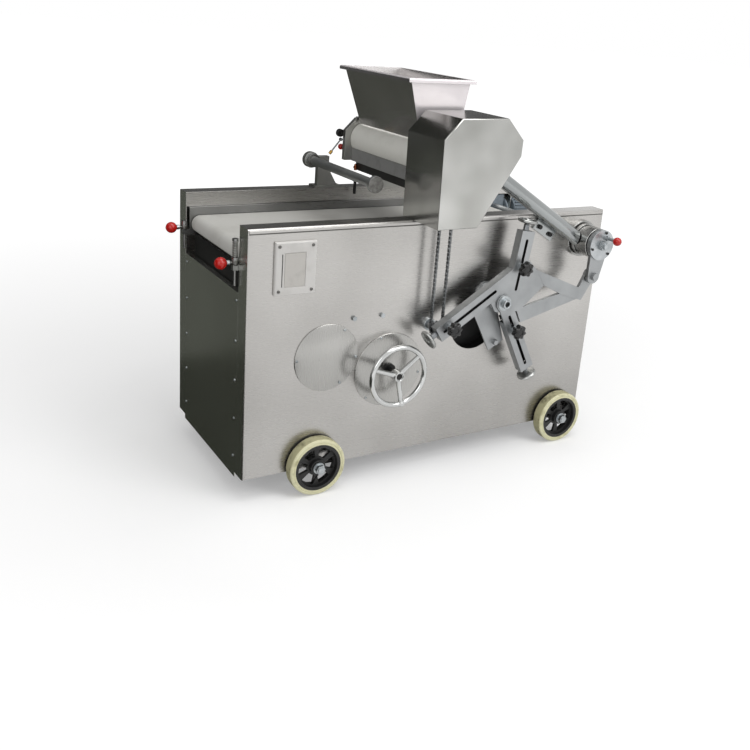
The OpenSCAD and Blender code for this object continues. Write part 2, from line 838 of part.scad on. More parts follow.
module bar_post() {
    post_x0 = bar_x + 23;
    post_x1 = post_x0 + 41;
    eye_r = bar_r + 12;
    arm_half = 12;
    foot_x0 = post_x0 - 9;
    foot_x1 = post_x1 + 50;
    foot_y0 = lip_rear + 2;
    foot_y1 = body_w - 5;
    gusset = 40;
    gusset_in = 7;
    gusset_t = 6;
    color("silver") place() difference() {
        union() {
            box(foot_x0, foot_x1, foot_y0, foot_y1, panel_z1, panel_z1 + gusset_t);
            slab_y(post_y0, post_y0 + post_t) {
                translate([bar_x, bar_z]) circle(r = eye_r);
                translate([bar_x, bar_z - arm_half]) square([post_x1 - bar_x, 2 * arm_half]);
                translate([post_x0, panel_z1]) square([post_x1 - post_x0, bar_z - panel_z1]);
            }
            slab_y(post_y0 + gusset_in, post_y0 + gusset_in + gusset_t)
                polygon([[post_x1 - over, panel_z1], [post_x1 + gusset, panel_z1],
                         [post_x1, bar_z - eye_r], [post_x1 - over, bar_z - eye_r]]);
        }
        bar_y(bar_x, bar_z, bar_r + fit, post_y0 - over, post_y0 + post_t + over);
    }
}

module cross_bar() {
    near_y = lip_front + 19;
    disc_t = 14;
    near_r = 25;
    far_r = 22;
    far_t = 16;
    tail = 4;
    color("dimgray") place() {
        bar_y(bar_x, bar_z, bar_r, near_y, post_y0 + post_t + tail);
        bar_y(bar_x, bar_z, near_r, near_y, near_y + disc_t);
        bar_y(bar_x, bar_z, far_r, post_y0 - far_t, post_y0 - gap);
    }
}

// Chain: two bands of link plates joined by pins on the straight strands
module chain() {
    first_pin = 1.5;
    color("dimgray") place() {
        for (side = [-1, 1]) {
            y_mid = chain_y + side * (chain_inner + chain_plate_t) / 2;
            slab_y(y_mid - chain_plate_t / 2, y_mid + chain_plate_t / 2) difference() {
                chain_loop(sprocket_r + chain_plate_h / 2);
                chain_loop(sprocket_r - chain_plate_h / 2);
            }
        }
        for (side = [-1, 1], i = [0 : chain_links - 3])
            bar_y(feed_x + side * sprocket_r, chain_z + (first_pin + i) * chain_pitch, chain_pin_r,
                  chain_y - chain_inner / 2 - chain_plate_t, chain_y + chain_inner / 2 + chain_plate_t);
    }
}

module chain_loop(r) {
    translate([feed_x, feed_z]) circle(r = r);
    translate([feed_x, chain_z]) circle(r = r);
    translate([feed_x - r, chain_z]) square([2 * r, feed_z - chain_z]);
}

// Rails, bed, cross bars with bushes, rack and lever studs, as one welded table
module conveyor_table() {
    rack_x0 = hand_x + pinion_r + 1.25 * pinion_m;
    rack_x1 = rack_x0 + rack_w;
    rack_z0 = hand_z - lift_up - rack_reach;
    rack_z1 = hand_z + lift_down + rack_reach;
    rack_n = floor((rack_z1 - rack_z0) / (2 * PI * pinion_m)) - 1;
    cross_xs = [guide_xs[0], (rack_x0 + rack_x1) / 2, guide_xs[1]];
    color("gray") place() difference() {
        union() {
            for (y0 = [rail_y0, rail_y1 - rail_t]) {
                box(rail_x0, rail_x1, y0, y0 + rail_t, rail_z0, rail_z1);
                for (x = cross_xs)
                    box(x - bar_half, x + bar_half, y0, y0 + rail_t, bar_z0, rail_z0 + over);
            }
            box(nose_x + belt_r, drive_x - belt_r, rail_y0 + rail_t - over, rail_y1 - rail_t + over,
                belt_z - belt_t - gap - bed_t, belt_z - belt_t - gap);
            for (x = cross_xs)
                box(x - bar_half, x + bar_half, rail_y0, rail_y1, bar_z0, bar_z1);
            for (x = guide_xs) bar_z(x, mid_w, bush_r, bar_z0 - bush_over, bar_z1 + bush_over);
            box(rack_x0, rack_x1, pinion_y, pinion_y + pinion_w, rack_z0, bar_z0 + over);
            for (i = [-rack_n : rack_n]) rack_tooth(rack_x0, (i + 0.5) * PI * pinion_m);
            lever_stud(rail_y0, spring_coils * spring_pitch);
            at_rear() lever_stud(body_w - rail_y1, 0);
        }
        for (x = guide_xs)
            bar_z(x, mid_w, guide_r + fit, bar_z0 - bush_over - over, bar_z1 + bush_over + over);
        for (x = [nose_x, drive_x])
            bar_y(x, roller_z, spindle_r + fit, rail_y0 - over, rail_y1 + over);
    }
}

module rack_tooth(x0, dz) {
    half = PI * pinion_m / 4 - 0.25;
    slope = tan(20);
    translate([0, 0, hand_z + dz]) slab_y(pinion_y, pinion_y + pinion_w)
        polygon([[x0 + over, -half - slope * 1.25 * pinion_m], [x0 + over, half + slope * 1.25 * pinion_m],
                 [x0 - 2.05 * pinion_m, half - slope * 0.8 * pinion_m],
                 [x0 - 2.05 * pinion_m, -half + slope * 0.8 * pinion_m]]);
}

// Bracket and stud at a rail's end; room is the height left for a spring above the lever's collar
module lever_stud(y0, room) {
    y = y0 + stud_in;
    hub_z = lever_z - lever_hub_h / 2;
    collar_z = lever_z + lever_hub_h / 2 + gap;
    nut_z = collar_z + collar_h + room + (room > 0 ? gap : -over);
    box(stud_x - bracket_over, rail_x0 + over, y - bracket_w / 2, y + bracket_w / 2,
        hub_z - gap - bracket_t, hub_z - gap);
    bar_z(stud_x, y, stud_r, roller_z - stud_low, nut_z + stud_nut_h);
    bar_z(stud_x, y, collar_r, collar_z, collar_z + collar_h);
    bar_z(stud_x, y, spring_od / 2, nut_z, nut_z + stud_nut_h);
}

// Lever with a ball, on the stud of the rail that starts at y0
module lever(y0) {
    y = y0 + stud_in;
    difference() {
        union() {
            bar_z(stud_x, y, lever_hub_r, lever_z - lever_hub_h / 2, lever_z + lever_hub_h / 2);
            bar_x(y, lever_z, lever_rod_r, stud_x - lever_reach, stud_x);
            translate([stud_x - lever_reach, y, lever_z]) rotate([0, 90, 0]) sphere(r = ball_r);
        }
        bar_z(stud_x, y, stud_r + fit, lever_z - lever_hub_h, lever_z + lever_hub_h);
    }
}

module front_lever() { color("crimson") place() lever(rail_y0); }
module rear_lever() { color("crimson") place() at_rear() lever(body_w - rail_y1); }

// Helical spring on the front stud: rings of points along the coil, joined by triangles
spring_rings = 8;
spring_sides = 6;
spring_r = (spring_od - spring_wire) / 2;
spring_z0 = lever_z + lever_hub_h / 2 + gap + collar_h + spring_wire / 2 + fit;
spring_rise = spring_pitch * spring_coils - spring_wire;
spring_steps = spring_rings * spring_coils;
function spring_mid(i) = let (a = 360 * i / spring_rings)
    [spring_r * cos(a), spring_r * sin(a), spring_rise * i / spring_steps];
function spring_ring(i) = let (a = 360 * i / spring_rings) [
    for (k = [0 : spring_sides - 1])
        let (b = 360 * k / spring_sides, r = spring_r + spring_wire / 2 * cos(b))
        [r * cos(a), r * sin(a), spring_rise * i / spring_steps + spring_wire / 2 * sin(b)]];
spring_gap = min([for (i = [0 : spring_steps - spring_rings], j = [i + spring_rings / 2 : spring_steps])
    norm(spring_mid(i) - spring_mid(j)) - spring_wire]);

module lever_spring() {
    last = spring_steps * spring_sides;
    points = [for (i = [0 : spring_steps]) each spring_ring(i)];
    sides = [for (i = [0 : spring_steps - 1], k = [0 : spring_sides - 1], half = [0, 1])
        let (a = i * spring_sides + k, b = i * spring_sides + (k + 1) % spring_sides)
        half == 0 ? [a, b, b + spring_sides] : [a, b + spring_sides, a + spring_sides]];
    first_cap = [for (k = [1 : spring_sides - 2]) [0, k + 1, k]];
    last_cap = [for (k = [1 : spring_sides - 2]) [last, last + k, last + k + 1]];
    echo(spring_least_gap = spring_gap);
    color("silver") place() translate([stud_x, rail_y0 + stud_in, spring_z0])
        polyhedron(points = points, faces = concat(sides, first_cap, last_cap));
}

module belt() {
    color("white") place() slab_y(belt_y0, belt_y1) difference() {
        belt_loop(belt_r);
        belt_loop(belt_r - belt_t);
    }
}

module belt_loop(r) {
    translate([nose_x, roller_z]) circle(r = r);
    translate([drive_x, roller_z]) circle(r = r);
    translate([nose_x, roller_z - r]) square([drive_x - nose_x, 2 * r]);
}

// Belt roller on its spindle
module belt_roller(x) {
    shoulder = 4;
    bar_y(x, roller_z, roller_d / 2, belt_y0, belt_y1);
    bar_y(x, roller_z, spindle_r, rail_y0, rail_y1);
    bar_y(x, roller_z, spindle_r + shoulder, rail_y0 + rail_t + gap, rail_y1 - rail_t - gap);
}

module nose_roller() { color("gainsboro") place() belt_roller(nose_x); }
module drive_roller() { color("dimgray") place() belt_roller(drive_x); }

module handwheel() {
    spoke_r = 6;
    spoke_in = 3;
    hub_front = spoke_r + 2;
    hub_back = 22;
    rim_r = hand_r - hand_tube / 2;
    color("silver") place() difference() {
        translate([hand_x, hand_y, hand_z]) {
            rotate([90, 0, 0]) rotate_extrude() translate([rim_r, 0]) circle(d = hand_tube);
            for (a = [40, 160, 280])
                rotate([0, -a, 0]) bar_x(0, 0, spoke_r, hand_hub_r - spoke_in, rim_r);
            bar_y(0, 0, hand_hub_r, -hub_front, hub_back);
        }
        bar_y(hand_x, hand_z, lift_r + fit, hand_y - hand_tube, 0);
    }
}

// Handwheel shaft with its collar and pinion
module lift_shaft() {
    front_end = 5;
    rear_end = 2;
    bush_r = lift_r + 10;
    bush_t = 8;
    bush_y = -cover_t - gap;
    backlash = 0.5;
    color([0.1, 0.1, 0.1]) place() {
        bar_y(hand_x, hand_z, lift_r, hand_y - front_end, stay_y + stay_t + rear_end);
        bar_y(hand_x, hand_z, bush_r, bush_y - bush_t, bush_y);
        translate([hand_x, 0, hand_z]) slab_y(pinion_y, pinion_y + pinion_w)
            gear_outline(pinion_n, pinion_m, backlash);
    }
}

// Feed roller with its shaft, which starts at y0
module feed_roller(axis, y0) {
    shoulder = 6;
    bar_y(axis[0], axis[1], feed_r, head_y0 + feed_end, head_y1 - feed_end);
    bar_y(axis[0], axis[1], feed_shaft_r, y0, plate_y1);
    bar_y(axis[0], axis[1], feed_shaft_r + shoulder, head_y0 + gap, head_y1 - gap);
}

module feed_roller_left() { color("ivory") place() feed_roller(feed_axes[0], chain_y - sprocket_w); }
module feed_roller_right() { color("ivory") place() feed_roller(feed_axes[1], gear_y0 - 2 * over); }

// Feed gear; turn sets a tooth or a gap towards its neighbour, and one that starts in front has a sprocket
module feed_gear(axis, turn, y0) {
    backlash = 0.8;
    difference() {
        union() {
            translate([axis[0], 0, axis[1]]) slab_y(gear_y0, gear_y0 + gear_w)
                rotate(turn) gear_outline(gear_n, gear_m, backlash);
            bar_y(axis[0], axis[1], gear_hub_r, gear_y0, plate_y0 - gap);
            if (y0 < gear_y0) {
                bar_y(axis[0], axis[1], chain_hub_r, y0, gear_y0 + over);
                translate([axis[0], 0, axis[1]]) slab_y(y0, y0 + sprocket_w) sprocket_outline();
            }
        }
        bar_y(axis[0], axis[1], feed_shaft_r + fit, y0 - over, plate_y0);
    }
}

module feed_gear_left() {
    color("slategray") place() feed_gear(feed_axes[0], feed_tilt, chain_y - sprocket_w / 2);
}

module feed_gear_right() {
    color("slategray") place() feed_gear(feed_axes[1], feed_tilt + 180 / gear_n, gear_y0);
}

module lower_sprocket() {
    y0 = chain_y - sprocket_w / 2;
    color("slategray") place() difference() {
        union() {
            translate([feed_x, 0, chain_z]) slab_y(y0, y0 + sprocket_w) sprocket_outline();
            bar_y(feed_x, chain_z, chain_hub_r, y0, -chain_foot_t - gap);
        }
        bar_y(feed_x, chain_z, chain_stud_r + fit, y0 - over, 0);
    }
}

// Worm gearbox in the rear panel's fold and its motor past the panel's end
module gear_motor() {
    box_y0 = body_w - sheet - box_t;
    half_l = 60;
    head_h = 44;
    neck_in = 10;
    end_wall = 6;
    color([0.42, 0.5, 0.58]) place() difference() {
        union() {
            box(shaft_x - half_l, shaft_x + half_l, box_y0, body_w - sheet,
                shaft_z - half_l, shaft_z + head_h);
            bar_x(motor_y, motor_z, motor_neck_r, shaft_x + half_l - over, motor_x1 - neck_in);
            bar_x(motor_y, motor_z, motor_r, motor_x0, motor_x1);
        }
        bar_y(shaft_x, shaft_z, shaft_r + fit, box_y0 - over, body_w - sheet - end_wall);
    }
}

module main_shaft() {
    rear_end = body_w - sheet - 7;
    collar_r = shaft_r + 12;
    nut_r = shaft_front_r + 6;
    nut_h = 12;
    end_y = disc_front - 22;
    nut_y = disc_front - gap;
    color("silver") place() {
        bar_y(shaft_x, shaft_z, shaft_r, rod_back + gap, rear_end);
        bar_y(shaft_x, shaft_z, collar_r, rod_back + gap, drum_front - gap);
        bar_y(shaft_x + throw, shaft_z, ecc_r, rod_front + gap, rod_back + gap);
        bar_y(shaft_x, shaft_z, shaft_front_r, end_y, rod_back);
        hex_y(shaft_x, shaft_z, nut_r, nut_y - nut_h, nut_y);
    }
}

module face_disc() {
    screw_at = 42;
    screw_r = 4;
    screw_h = 2;
    guide_r = index_r + 4;
    guide_h = 10;
    x = shaft_x + index_at[0];
    z = shaft_z + index_at[1];
    color("silver") place() difference() {
        union() {
            bar_y(shaft_x, shaft_z, disc_r, disc_front, rod_front - gap);
            bar_y(x, z, guide_r, disc_front - guide_h, disc_front);
            for (a = [75, 195, 315])
                bar_y(shaft_x + screw_at * cos(a), shaft_z + screw_at * sin(a), screw_r,
                      disc_front - screw_h, disc_front);
        }
        bar_y(shaft_x, shaft_z, shaft_front_r + fit, disc_front - over, rod_front);
        bar_y(x, z, index_r + fit, disc_front - guide_h - over, rod_front);
    }
}

module index_plunger() {
    x = shaft_x + index_at[0];
    z = shaft_z + index_at[1];
    color("crimson") place() {
        bar_y(x, z, index_r, index_ball_y, rod_front - 2 * gap);
        translate([x, index_ball_y, z]) sphere(r = index_ball_r);
    }
}

// Hanging rod: a strap around the eccentric, tapering to the pin on the rocker's hook
module eccentric_rod() {
    pin = [pivot_x + rod_pin[0], pivot_z + rod_pin[1]];
    eye_r = rod_pin_r + 17;
    top_half = disc_r - 12;
    color("gainsboro") place() difference() {
        slab_y(rod_front, rod_back) {
            translate([shaft_x, shaft_z]) circle(r = disc_r);
            translate(pin) circle(r = eye_r);
            polygon([[shaft_x - top_half, shaft_z], [pin[0] - eye_r, pin[1]], [pin[0] + eye_r, pin[1]],
                     [shaft_x + top_half, shaft_z]]);
        }
        bar_y(shaft_x, shaft_z, strap_r, rod_front - over, rod_back + over);
        bar_y(pin[0], pin[1], rod_pin_r + fit, rod_front - over, rod_back + over);
    }
}

// Slot along an arm, rounded at both ends
module arm_slot(arm, y0, y1) {
    along_arm(arm) slab_y(y0, y1) {
        translate([0, -slot_w / 2]) square([arm[2], slot_w]);
        circle(d = slot_w);
        translate([arm[2], 0]) circle(d = slot_w);
    }
}

// Outline of an arm's web from s0 to its end, in the upright x, z plane
module arm_web(arm, s0) {
    translate([pivot_x + arm[0][0], pivot_z + arm[0][1]]) rotate(arm[1])
        translate([s0, -arm_w / 2]) square([arm[3] - s0, arm_w]);
}

// Side walls of a channel arm from s0 on, with its end wall, in the same plane
module arm_walls(arm, s0) {
    half = arm_w / 2 - arm_edge;
    translate([pivot_x + arm[0][0], pivot_z + arm[0][1]]) rotate(arm[1]) difference() {
        translate([s0, -half]) square([arm[3] - arm_edge - s0, 2 * half]);
        translate([s0 - over, arm_wall - half]) square([arm[3] - end_t - s0 + over, 2 * (half - arm_wall)]);
    }
}

// Wall that runs on from an arm's right side along the hub, from s0 to s1
module hub_wall(arm, s0, s1) {
    translate([pivot_x + arm[0][0], pivot_z + arm[0][1]]) rotate(arm[1])
        translate([s0, arm_edge - arm_w / 2]) square([s1 - s0, arm_wall]);
}

module screw_bore(arm, dy) {
    along_arm(arm) bar_x(screw_y + dy, 0, screw_r + fit, arm[3] - end_t - over, arm[3] + over);
}

module rocker_plate() {
    pin = [pivot_x + rod_pin[0], pivot_z + rod_pin[1]];
    pin_pad_r = 22;
    pin_collar_r = 13;
    pin_head = 12;
    ear_nut_r = 9;
    ear_nut_h = 14;
    color("darkgray") place() difference() {
        union() {
            slab_y(arm_front, web_back) {
                translate([pivot_x, pivot_z]) polygon(hub_outline);
                arm_web(up_arm, up_arm[5]);
                arm_web(left_arm, left_arm[5]);
            }
            slab_y(arm_front + arm_edge, hook_back) translate([pivot_x, pivot_z]) {
                polygon(hook_outline);
                translate(rod_pin) circle(r = pin_pad_r);
            }
            slab_y(web_back, brace_back) translate([pivot_x, pivot_z]) polygon(brace_outline);
            slab_y(arm_back, arm_back + web) translate([pivot_x, pivot_z]) polygon(ear_outline);
            bar_y(pivot_x, pivot_z, boss_r, arm_front, boss_back);
            slab_y(arm_front + web / 2, arm_back) {
                arm_walls(up_arm, up_arm[6]);
                arm_walls(left_arm, left_arm[6]);
                hub_wall(left_arm, left_arm[5], left_arm[6] + over);
            }
            hex_y(pivot_x + ear_stud[0], pivot_z + ear_stud[1], ear_nut_r, arm_back - ear_nut_h, arm_back);
            bar_y(pin[0], pin[1], pin_collar_r, rod_back + gap, web_back);
            bar_y(pin[0], pin[1], rod_pin_r, rod_front - pin_head, web_back);
            hex_y(pin[0], pin[1], pin_collar_r, rod_front - pin_head, rod_front - gap);
        }
        bar_y(pivot_x, pivot_z, pivot_r + fit, lower_front, 0);
        arm_slot(up_arm, arm_front - over, hook_back + over);
        arm_slot(left_arm, arm_front - over, web_back + over);
        screw_bore(up_arm, 0);
        screw_bore(left_arm, 0);
    }
}

module lower_arm() {
    eye_r = boss_r - 2;
    color("darkgray") place() difference() {
        union() {
            slab_y(lower_front, arm_front) {
                translate([pivot_x, pivot_z]) circle(r = eye_r);
                arm_web(low_arm, low_arm[5]);
            }
            slab_y(lower_front + web / 2, lower_front + arm_back - arm_front)
                arm_walls(low_arm, low_arm[6]);
        }
        bar_y(pivot_x, pivot_z, pivot_r + fit, lower_front - over, arm_front + over);
        arm_slot(low_arm, lower_front - over, arm_front + over);
        screw_bore(low_arm, -web);
    }
}

// Lead screw with its dish knob, dy in front of the rocker's own screws
module lead_screw(arm, dy) {
    start = 8;
    neck = 20;
    neck_r = screw_r + 3;
    rim = 5;
    hub_r = 2 * rim;
    lift = 4;
    floor_h = 9;
    rim_h = 14;
    hub_h = 16;
    along_arm(arm) translate([0, screw_y + dy, 0]) rotate([0, 90, 0]) {
        translate([0, 0, start]) cylinder(r = screw_r, h = arm[3] + neck - start);
        translate([0, 0, arm[3] + gap]) cylinder(r = neck_r, h = neck - gap);
        translate([0, 0, arm[3] + neck]) rotate_extrude()
            polygon([[0, 0], [hub_r, 0], [dish_r - rim, lift], [dish_r, lift + rim / 2], [dish_r, rim_h],
                     [dish_r - rim, rim_h], [dish_r - 2 * rim, floor_h], [hub_r, floor_h], [hub_r, hub_h],
                     [0, hub_h]]);
    }
}

// Block that slides in the channel, with its clamp stud through the slot
module slide_block(arm, dy) {
    y0 = web_back + gap + dy;
    y1 = arm_back - 2 * over + dy;
    stud_y = arm_front - stud_out + dy;
    along_arm(arm) translate([arm[4], 0, 0]) difference() {
        union() {
            box(-block_l / 2, block_l / 2, y0, y1, -block_w / 2, block_w / 2);
            bar_y(0, 0, clamp_r, stud_y, y0);
        }
        bar_x(screw_y + dy, 0, screw_r + gap, -block_l, block_l);
    }
}

// Star clamp knob with a collar against the web
module star_knob(arm, dy) {
    lobes = 7;
    lobe_r = 8;
    lobe_at = star_r - lobe_r;
    collar = 14;
    collar_r = clamp_r + 8;
    head = 24;
    head_r = lobe_at + over;
    front = arm_front - gap + dy;
    along_arm(arm) translate([arm[4], 0, 0]) difference() {
        union() {
            bar_y(0, 0, collar_r, front - collar, front);
            bar_y(0, 0, head_r, front - collar - head, front - collar);
            for (i = [0 : lobes - 1])
                bar_y(lobe_at * cos(i * 360 / lobes), lobe_at * sin(i * 360 / lobes),
                      lobe_r, front - collar - head + 3 * over, front - collar - 2 * over);
        }
        bar_y(0, 0, clamp_r + fit, arm_front - stud_out - over + dy, front + over);
    }
}

module up_screw() { color("silver") place() lead_screw(up_arm, 0); }
module left_screw() { color("silver") place() lead_screw(left_arm, 0); }
module low_screw() { color("silver") place() lead_screw(low_arm, -web); }
module up_block() { color("slategray") place() slide_block(up_arm, 0); }
module left_block() { color("slategray") place() slide_block(left_arm, 0); }
module low_block() { color("slategray") place() slide_block(low_arm, -web); }
module up_knob() { color("black") place() star_knob(up_arm, 0); }
module left_knob() { color("black") place() star_knob(left_arm, 0); }
module low_knob() { color("black") place() star_knob(low_arm, -web); }

front_panel();
rear_panel();
infeed_end_panel();
outfeed_end_panel();
base_frame();
wheel_axles();
inspection_cover();
handwheel_backplate();
name_plate();
panel_screws();
near_head_plate();
far_head_plate();
hopper();
manifold();
nozzles();
gear_cover();
gear_motor();
panel_studs();
shaft_housing();
brace_tube();
bar_post();
cross_bar();
chain();
tyre_front_in();
tyre_front_out();
tyre_rear_in();
tyre_rear_out();
core_front_in();
core_front_out();
core_rear_in();
core_rear_out();
conveyor_table();
belt();
nose_roller();
drive_roller();
lever_spring();
front_lever();
rear_lever();
handwheel();
lift_shaft();
feed_roller_left();
feed_roller_right();
feed_gear_left();
feed_gear_right();
lower_sprocket();
main_shaft();
face_disc();
index_plunger();
eccentric_rod();
rocker_plate();
lower_arm();
up_screw();
left_screw();
low_screw();
up_block();
left_block();
low_block();
up_knob();
left_knob();
low_knob();
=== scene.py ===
import json
import math
import bpy
from mathutils import Matrix, Vector

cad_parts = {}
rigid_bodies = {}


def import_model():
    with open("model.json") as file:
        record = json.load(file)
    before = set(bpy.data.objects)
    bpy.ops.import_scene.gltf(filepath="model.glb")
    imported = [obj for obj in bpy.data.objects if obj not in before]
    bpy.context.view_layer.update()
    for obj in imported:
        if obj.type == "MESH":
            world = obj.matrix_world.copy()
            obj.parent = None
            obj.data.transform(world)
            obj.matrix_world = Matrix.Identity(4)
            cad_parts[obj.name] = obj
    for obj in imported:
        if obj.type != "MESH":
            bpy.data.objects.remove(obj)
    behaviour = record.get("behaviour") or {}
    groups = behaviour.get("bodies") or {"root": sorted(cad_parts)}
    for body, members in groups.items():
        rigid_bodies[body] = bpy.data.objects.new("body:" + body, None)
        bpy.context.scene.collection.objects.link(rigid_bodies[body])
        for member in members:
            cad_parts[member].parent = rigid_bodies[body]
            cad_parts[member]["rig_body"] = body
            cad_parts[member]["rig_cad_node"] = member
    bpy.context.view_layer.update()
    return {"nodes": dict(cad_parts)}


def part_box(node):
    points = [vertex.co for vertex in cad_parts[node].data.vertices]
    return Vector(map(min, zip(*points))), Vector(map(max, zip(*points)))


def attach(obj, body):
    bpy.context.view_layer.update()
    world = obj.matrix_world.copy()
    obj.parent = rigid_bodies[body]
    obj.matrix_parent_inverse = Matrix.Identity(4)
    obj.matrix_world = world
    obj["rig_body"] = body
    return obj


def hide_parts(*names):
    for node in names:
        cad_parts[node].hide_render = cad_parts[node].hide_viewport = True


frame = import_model()
scene = bpy.context.scene
scene.view_settings.view_transform = "Standard"


# Studio: the photograph's viewpoint over a pale seamless floor that runs to the horizon.
# The world is white to the eye and in mirrors, and dimmer as a light, so that soft boxes do the modelling.
def lin(code):
    """An sRGB hex colour as linear red, green, blue and alpha."""
    parts = [int(code[i:i + 2], 16) / 255 for i in (1, 3, 5)]
    return tuple(c / 12.92 if c <= 0.04045 else ((c + 0.055) / 1.055) ** 2.4 for c in parts) + (1.0,)


def add(tree, kind, settings=None, links=None):
    """Adds a node: settings fill its sockets or attributes, links lead other outputs into its sockets."""
    node = tree.nodes.new("ShaderNode" + kind)
    for key, value in (settings or {}).items():
        if isinstance(key, int) or key in node.inputs:
            node.inputs[key].default_value = value
        else:
            setattr(node, key, value)
    for key, source in (links or {}).items():
        tree.links.new(source, node.inputs[key])
    return node


def emptied(owner):
    """The node tree of a material or a world, cleared for new nodes."""
    owner.use_nodes = True
    owner.node_tree.nodes.clear()
    return owner.node_tree


def seen_factor(tree):
    """1 for a ray that shows a surface straight, in a mirror or through glass, and 0 for any other."""
    path = add(tree, "LightPath")
    near = add(tree, "Math", {"operation": "MAXIMUM"},
               {0: path.outputs["Is Camera Ray"], 1: path.outputs["Is Glossy Ray"]})
    return add(tree, "Math", {"operation": "MAXIMUM"},
               {0: near.outputs[0], 1: path.outputs["Is Transmission Ray"]}).outputs[0]


camera = bpy.data.objects.new("camera", bpy.data.cameras.new("camera"))
scene.collection.objects.link(camera)
scene.camera = camera
camera.data.lens = 43.88
camera.data.sensor_width = 36
camera.data.shift_x = -0.0358
camera.data.shift_y = -0.0879
camera.data.dof.use_dof = False
eye = (-1.5581, -2.41785, 1.3917)
rightward = (0.8511, -0.5191, 0.0778)
headward = (0.0978, 0.3024, 0.9481)
backward = (-0.5158, -0.7994, 0.3082)
turn = Matrix((rightward, headward, backward)).transposed()
camera.matrix_world = Matrix.Translation(eye) @ turn.to_4x4()

# The sky is seen at full strength, and as a light it has about half of that
sky_light = 0.48
world = bpy.data.worlds.new("white_studio")
scene.world = world
tree = emptied(world)
glow = add(tree, "Math", {"operation": "MULTIPLY_ADD", 1: 1 - sky_light, 2: sky_light},
           {0: seen_factor(tree)})
sky = add(tree, "Background", {"Color": lin("#ffffff")}, {"Strength": glow.outputs[0]})
add(tree, "OutputWorld", {}, {"Surface": sky.outputs[0]})

floor_drop = 0.0004
bpy.ops.mesh.primitive_plane_add(size=80, location=(0, 0, -floor_drop))
floor = bpy.context.object
floor.name = "floor"
# Matt paper gives a pale floor that grows whiter from 1 m to 4.5 m away, so that no horizon shows
paper = bpy.data.materials.new("studio_paper")
tree = emptied(paper)
matt = add(tree, "BsdfDiffuse", {"Color": lin("#dcdcdc")})
place = add(tree, "TexCoord")
away = add(tree, "VectorMath", {"operation": "LENGTH"}, {0: place.outputs["Object"]})
share = add(tree, "MapRange", {"From Min": 1.0, "From Max": 4.5, "To Min": 0.27, "To Max": 0.72},
            {"Value": away.outputs["Value"]})
lift = add(tree, "Math", {"operation": "MULTIPLY"}, {0: seen_factor(tree), 1: share.outputs[0]})
lit = add(tree, "Emission", {"Color": lin("#ffffff")}, {"Strength": lift.outputs[0]})
both = add(tree, "AddShader", {}, {0: matt.outputs[0], 1: lit.outputs[0]})
add(tree, "OutputMaterial", {}, {"Surface": both.outputs[0]})
floor.data.materials.append(paper)

for name, spot, aim, size, power in (
        ("key", (1.6, -3.4, 3.2), (0.1, 0, 0.6), 2.4, 70),
        ("fill", (-3.4, -2.6, 2.6), (0, 0, 0.6), 2.2, 26),
        ("top", (0.3, -0.9, 4.2), (0, 0, 0.5), 2.6, 62)):
    lamp = bpy.data.objects.new(name, bpy.data.lights.new(name, "AREA"))
    scene.collection.objects.link(lamp)
    lamp.data.size = size
    lamp.data.energy = power
    lamp.location = spot
    lamp.rotation_euler = (Vector(aim) - Vector(spot)).to_track_quat("-Z", "Y").to_euler()


# Flags: dark cloths that only mirrors see, which give the bare metal something dim to show.
# They lie on the floor beside and behind the machine, and hang at its left, at its back and above.
for name, size, spot, lean, tone in (
        ("flag_floor_near", (3.5, 2.2), (-2.36, -0.2, 0.01), (0, 0, 0), "#363832"),
        ("flag_floor_left", (3.5, 8.4), (-2.36, 5.1, 0.01), (0, 0, 0), "#555751"),
        ("flag_floor_back", (2.2, 4.6), (0.5, 2.9, 0.01), (0, 0, 0), "#30322d"),
        ("flag_left", (4.4, 11.0), (-4.1, 4.4, 2.2), (0, 90, 0), "#373833"),
        ("flag_back", (9.0, 2.9), (0.6, 5.4, 1.45), (90, 0, 0), "#616161"),
        ("flag_hall", (9.0, 4.4), (0.6, 5.4, 5.1), (90, 0, 0), "#31322e")):
    bpy.ops.mesh.primitive_plane_add(size=1, location=spot, rotation=[math.radians(a) for a in lean])
    flag = bpy.context.object
    flag.name = name
    flag.scale = (size[0], size[1], 1)
    # Cloth gives mirrors one flat dark tone
    cloth = bpy.data.materials.new(name)
    tree = emptied(cloth)
    tint = add(tree, "Emission", {"Color": lin(tone), "Strength": 1.0})
    add(tree, "OutputMaterial", {}, {"Surface": tint.outputs[0]})
    flag.data.materials.append(cloth)
    flag.visible_camera = flag.visible_diffuse = flag.visible_shadow = False
    flag.visible_transmission = flag.visible_volume_scatter = False


# Base frame: square tube welded into a ladder, with two guide posts, hidden between the panels.
# Grey stoving enamel; it only shows in the gaps, so the plain mesh stays and takes a better finish.
middle_x = 642
middle_y = 222.65


def at(x, y, z):
    """A place in metres, from mm along the front panel, behind its face and above the floor."""
    return Vector(((x - middle_x) / 1000, (y - middle_y) / 1000, z / 1000))


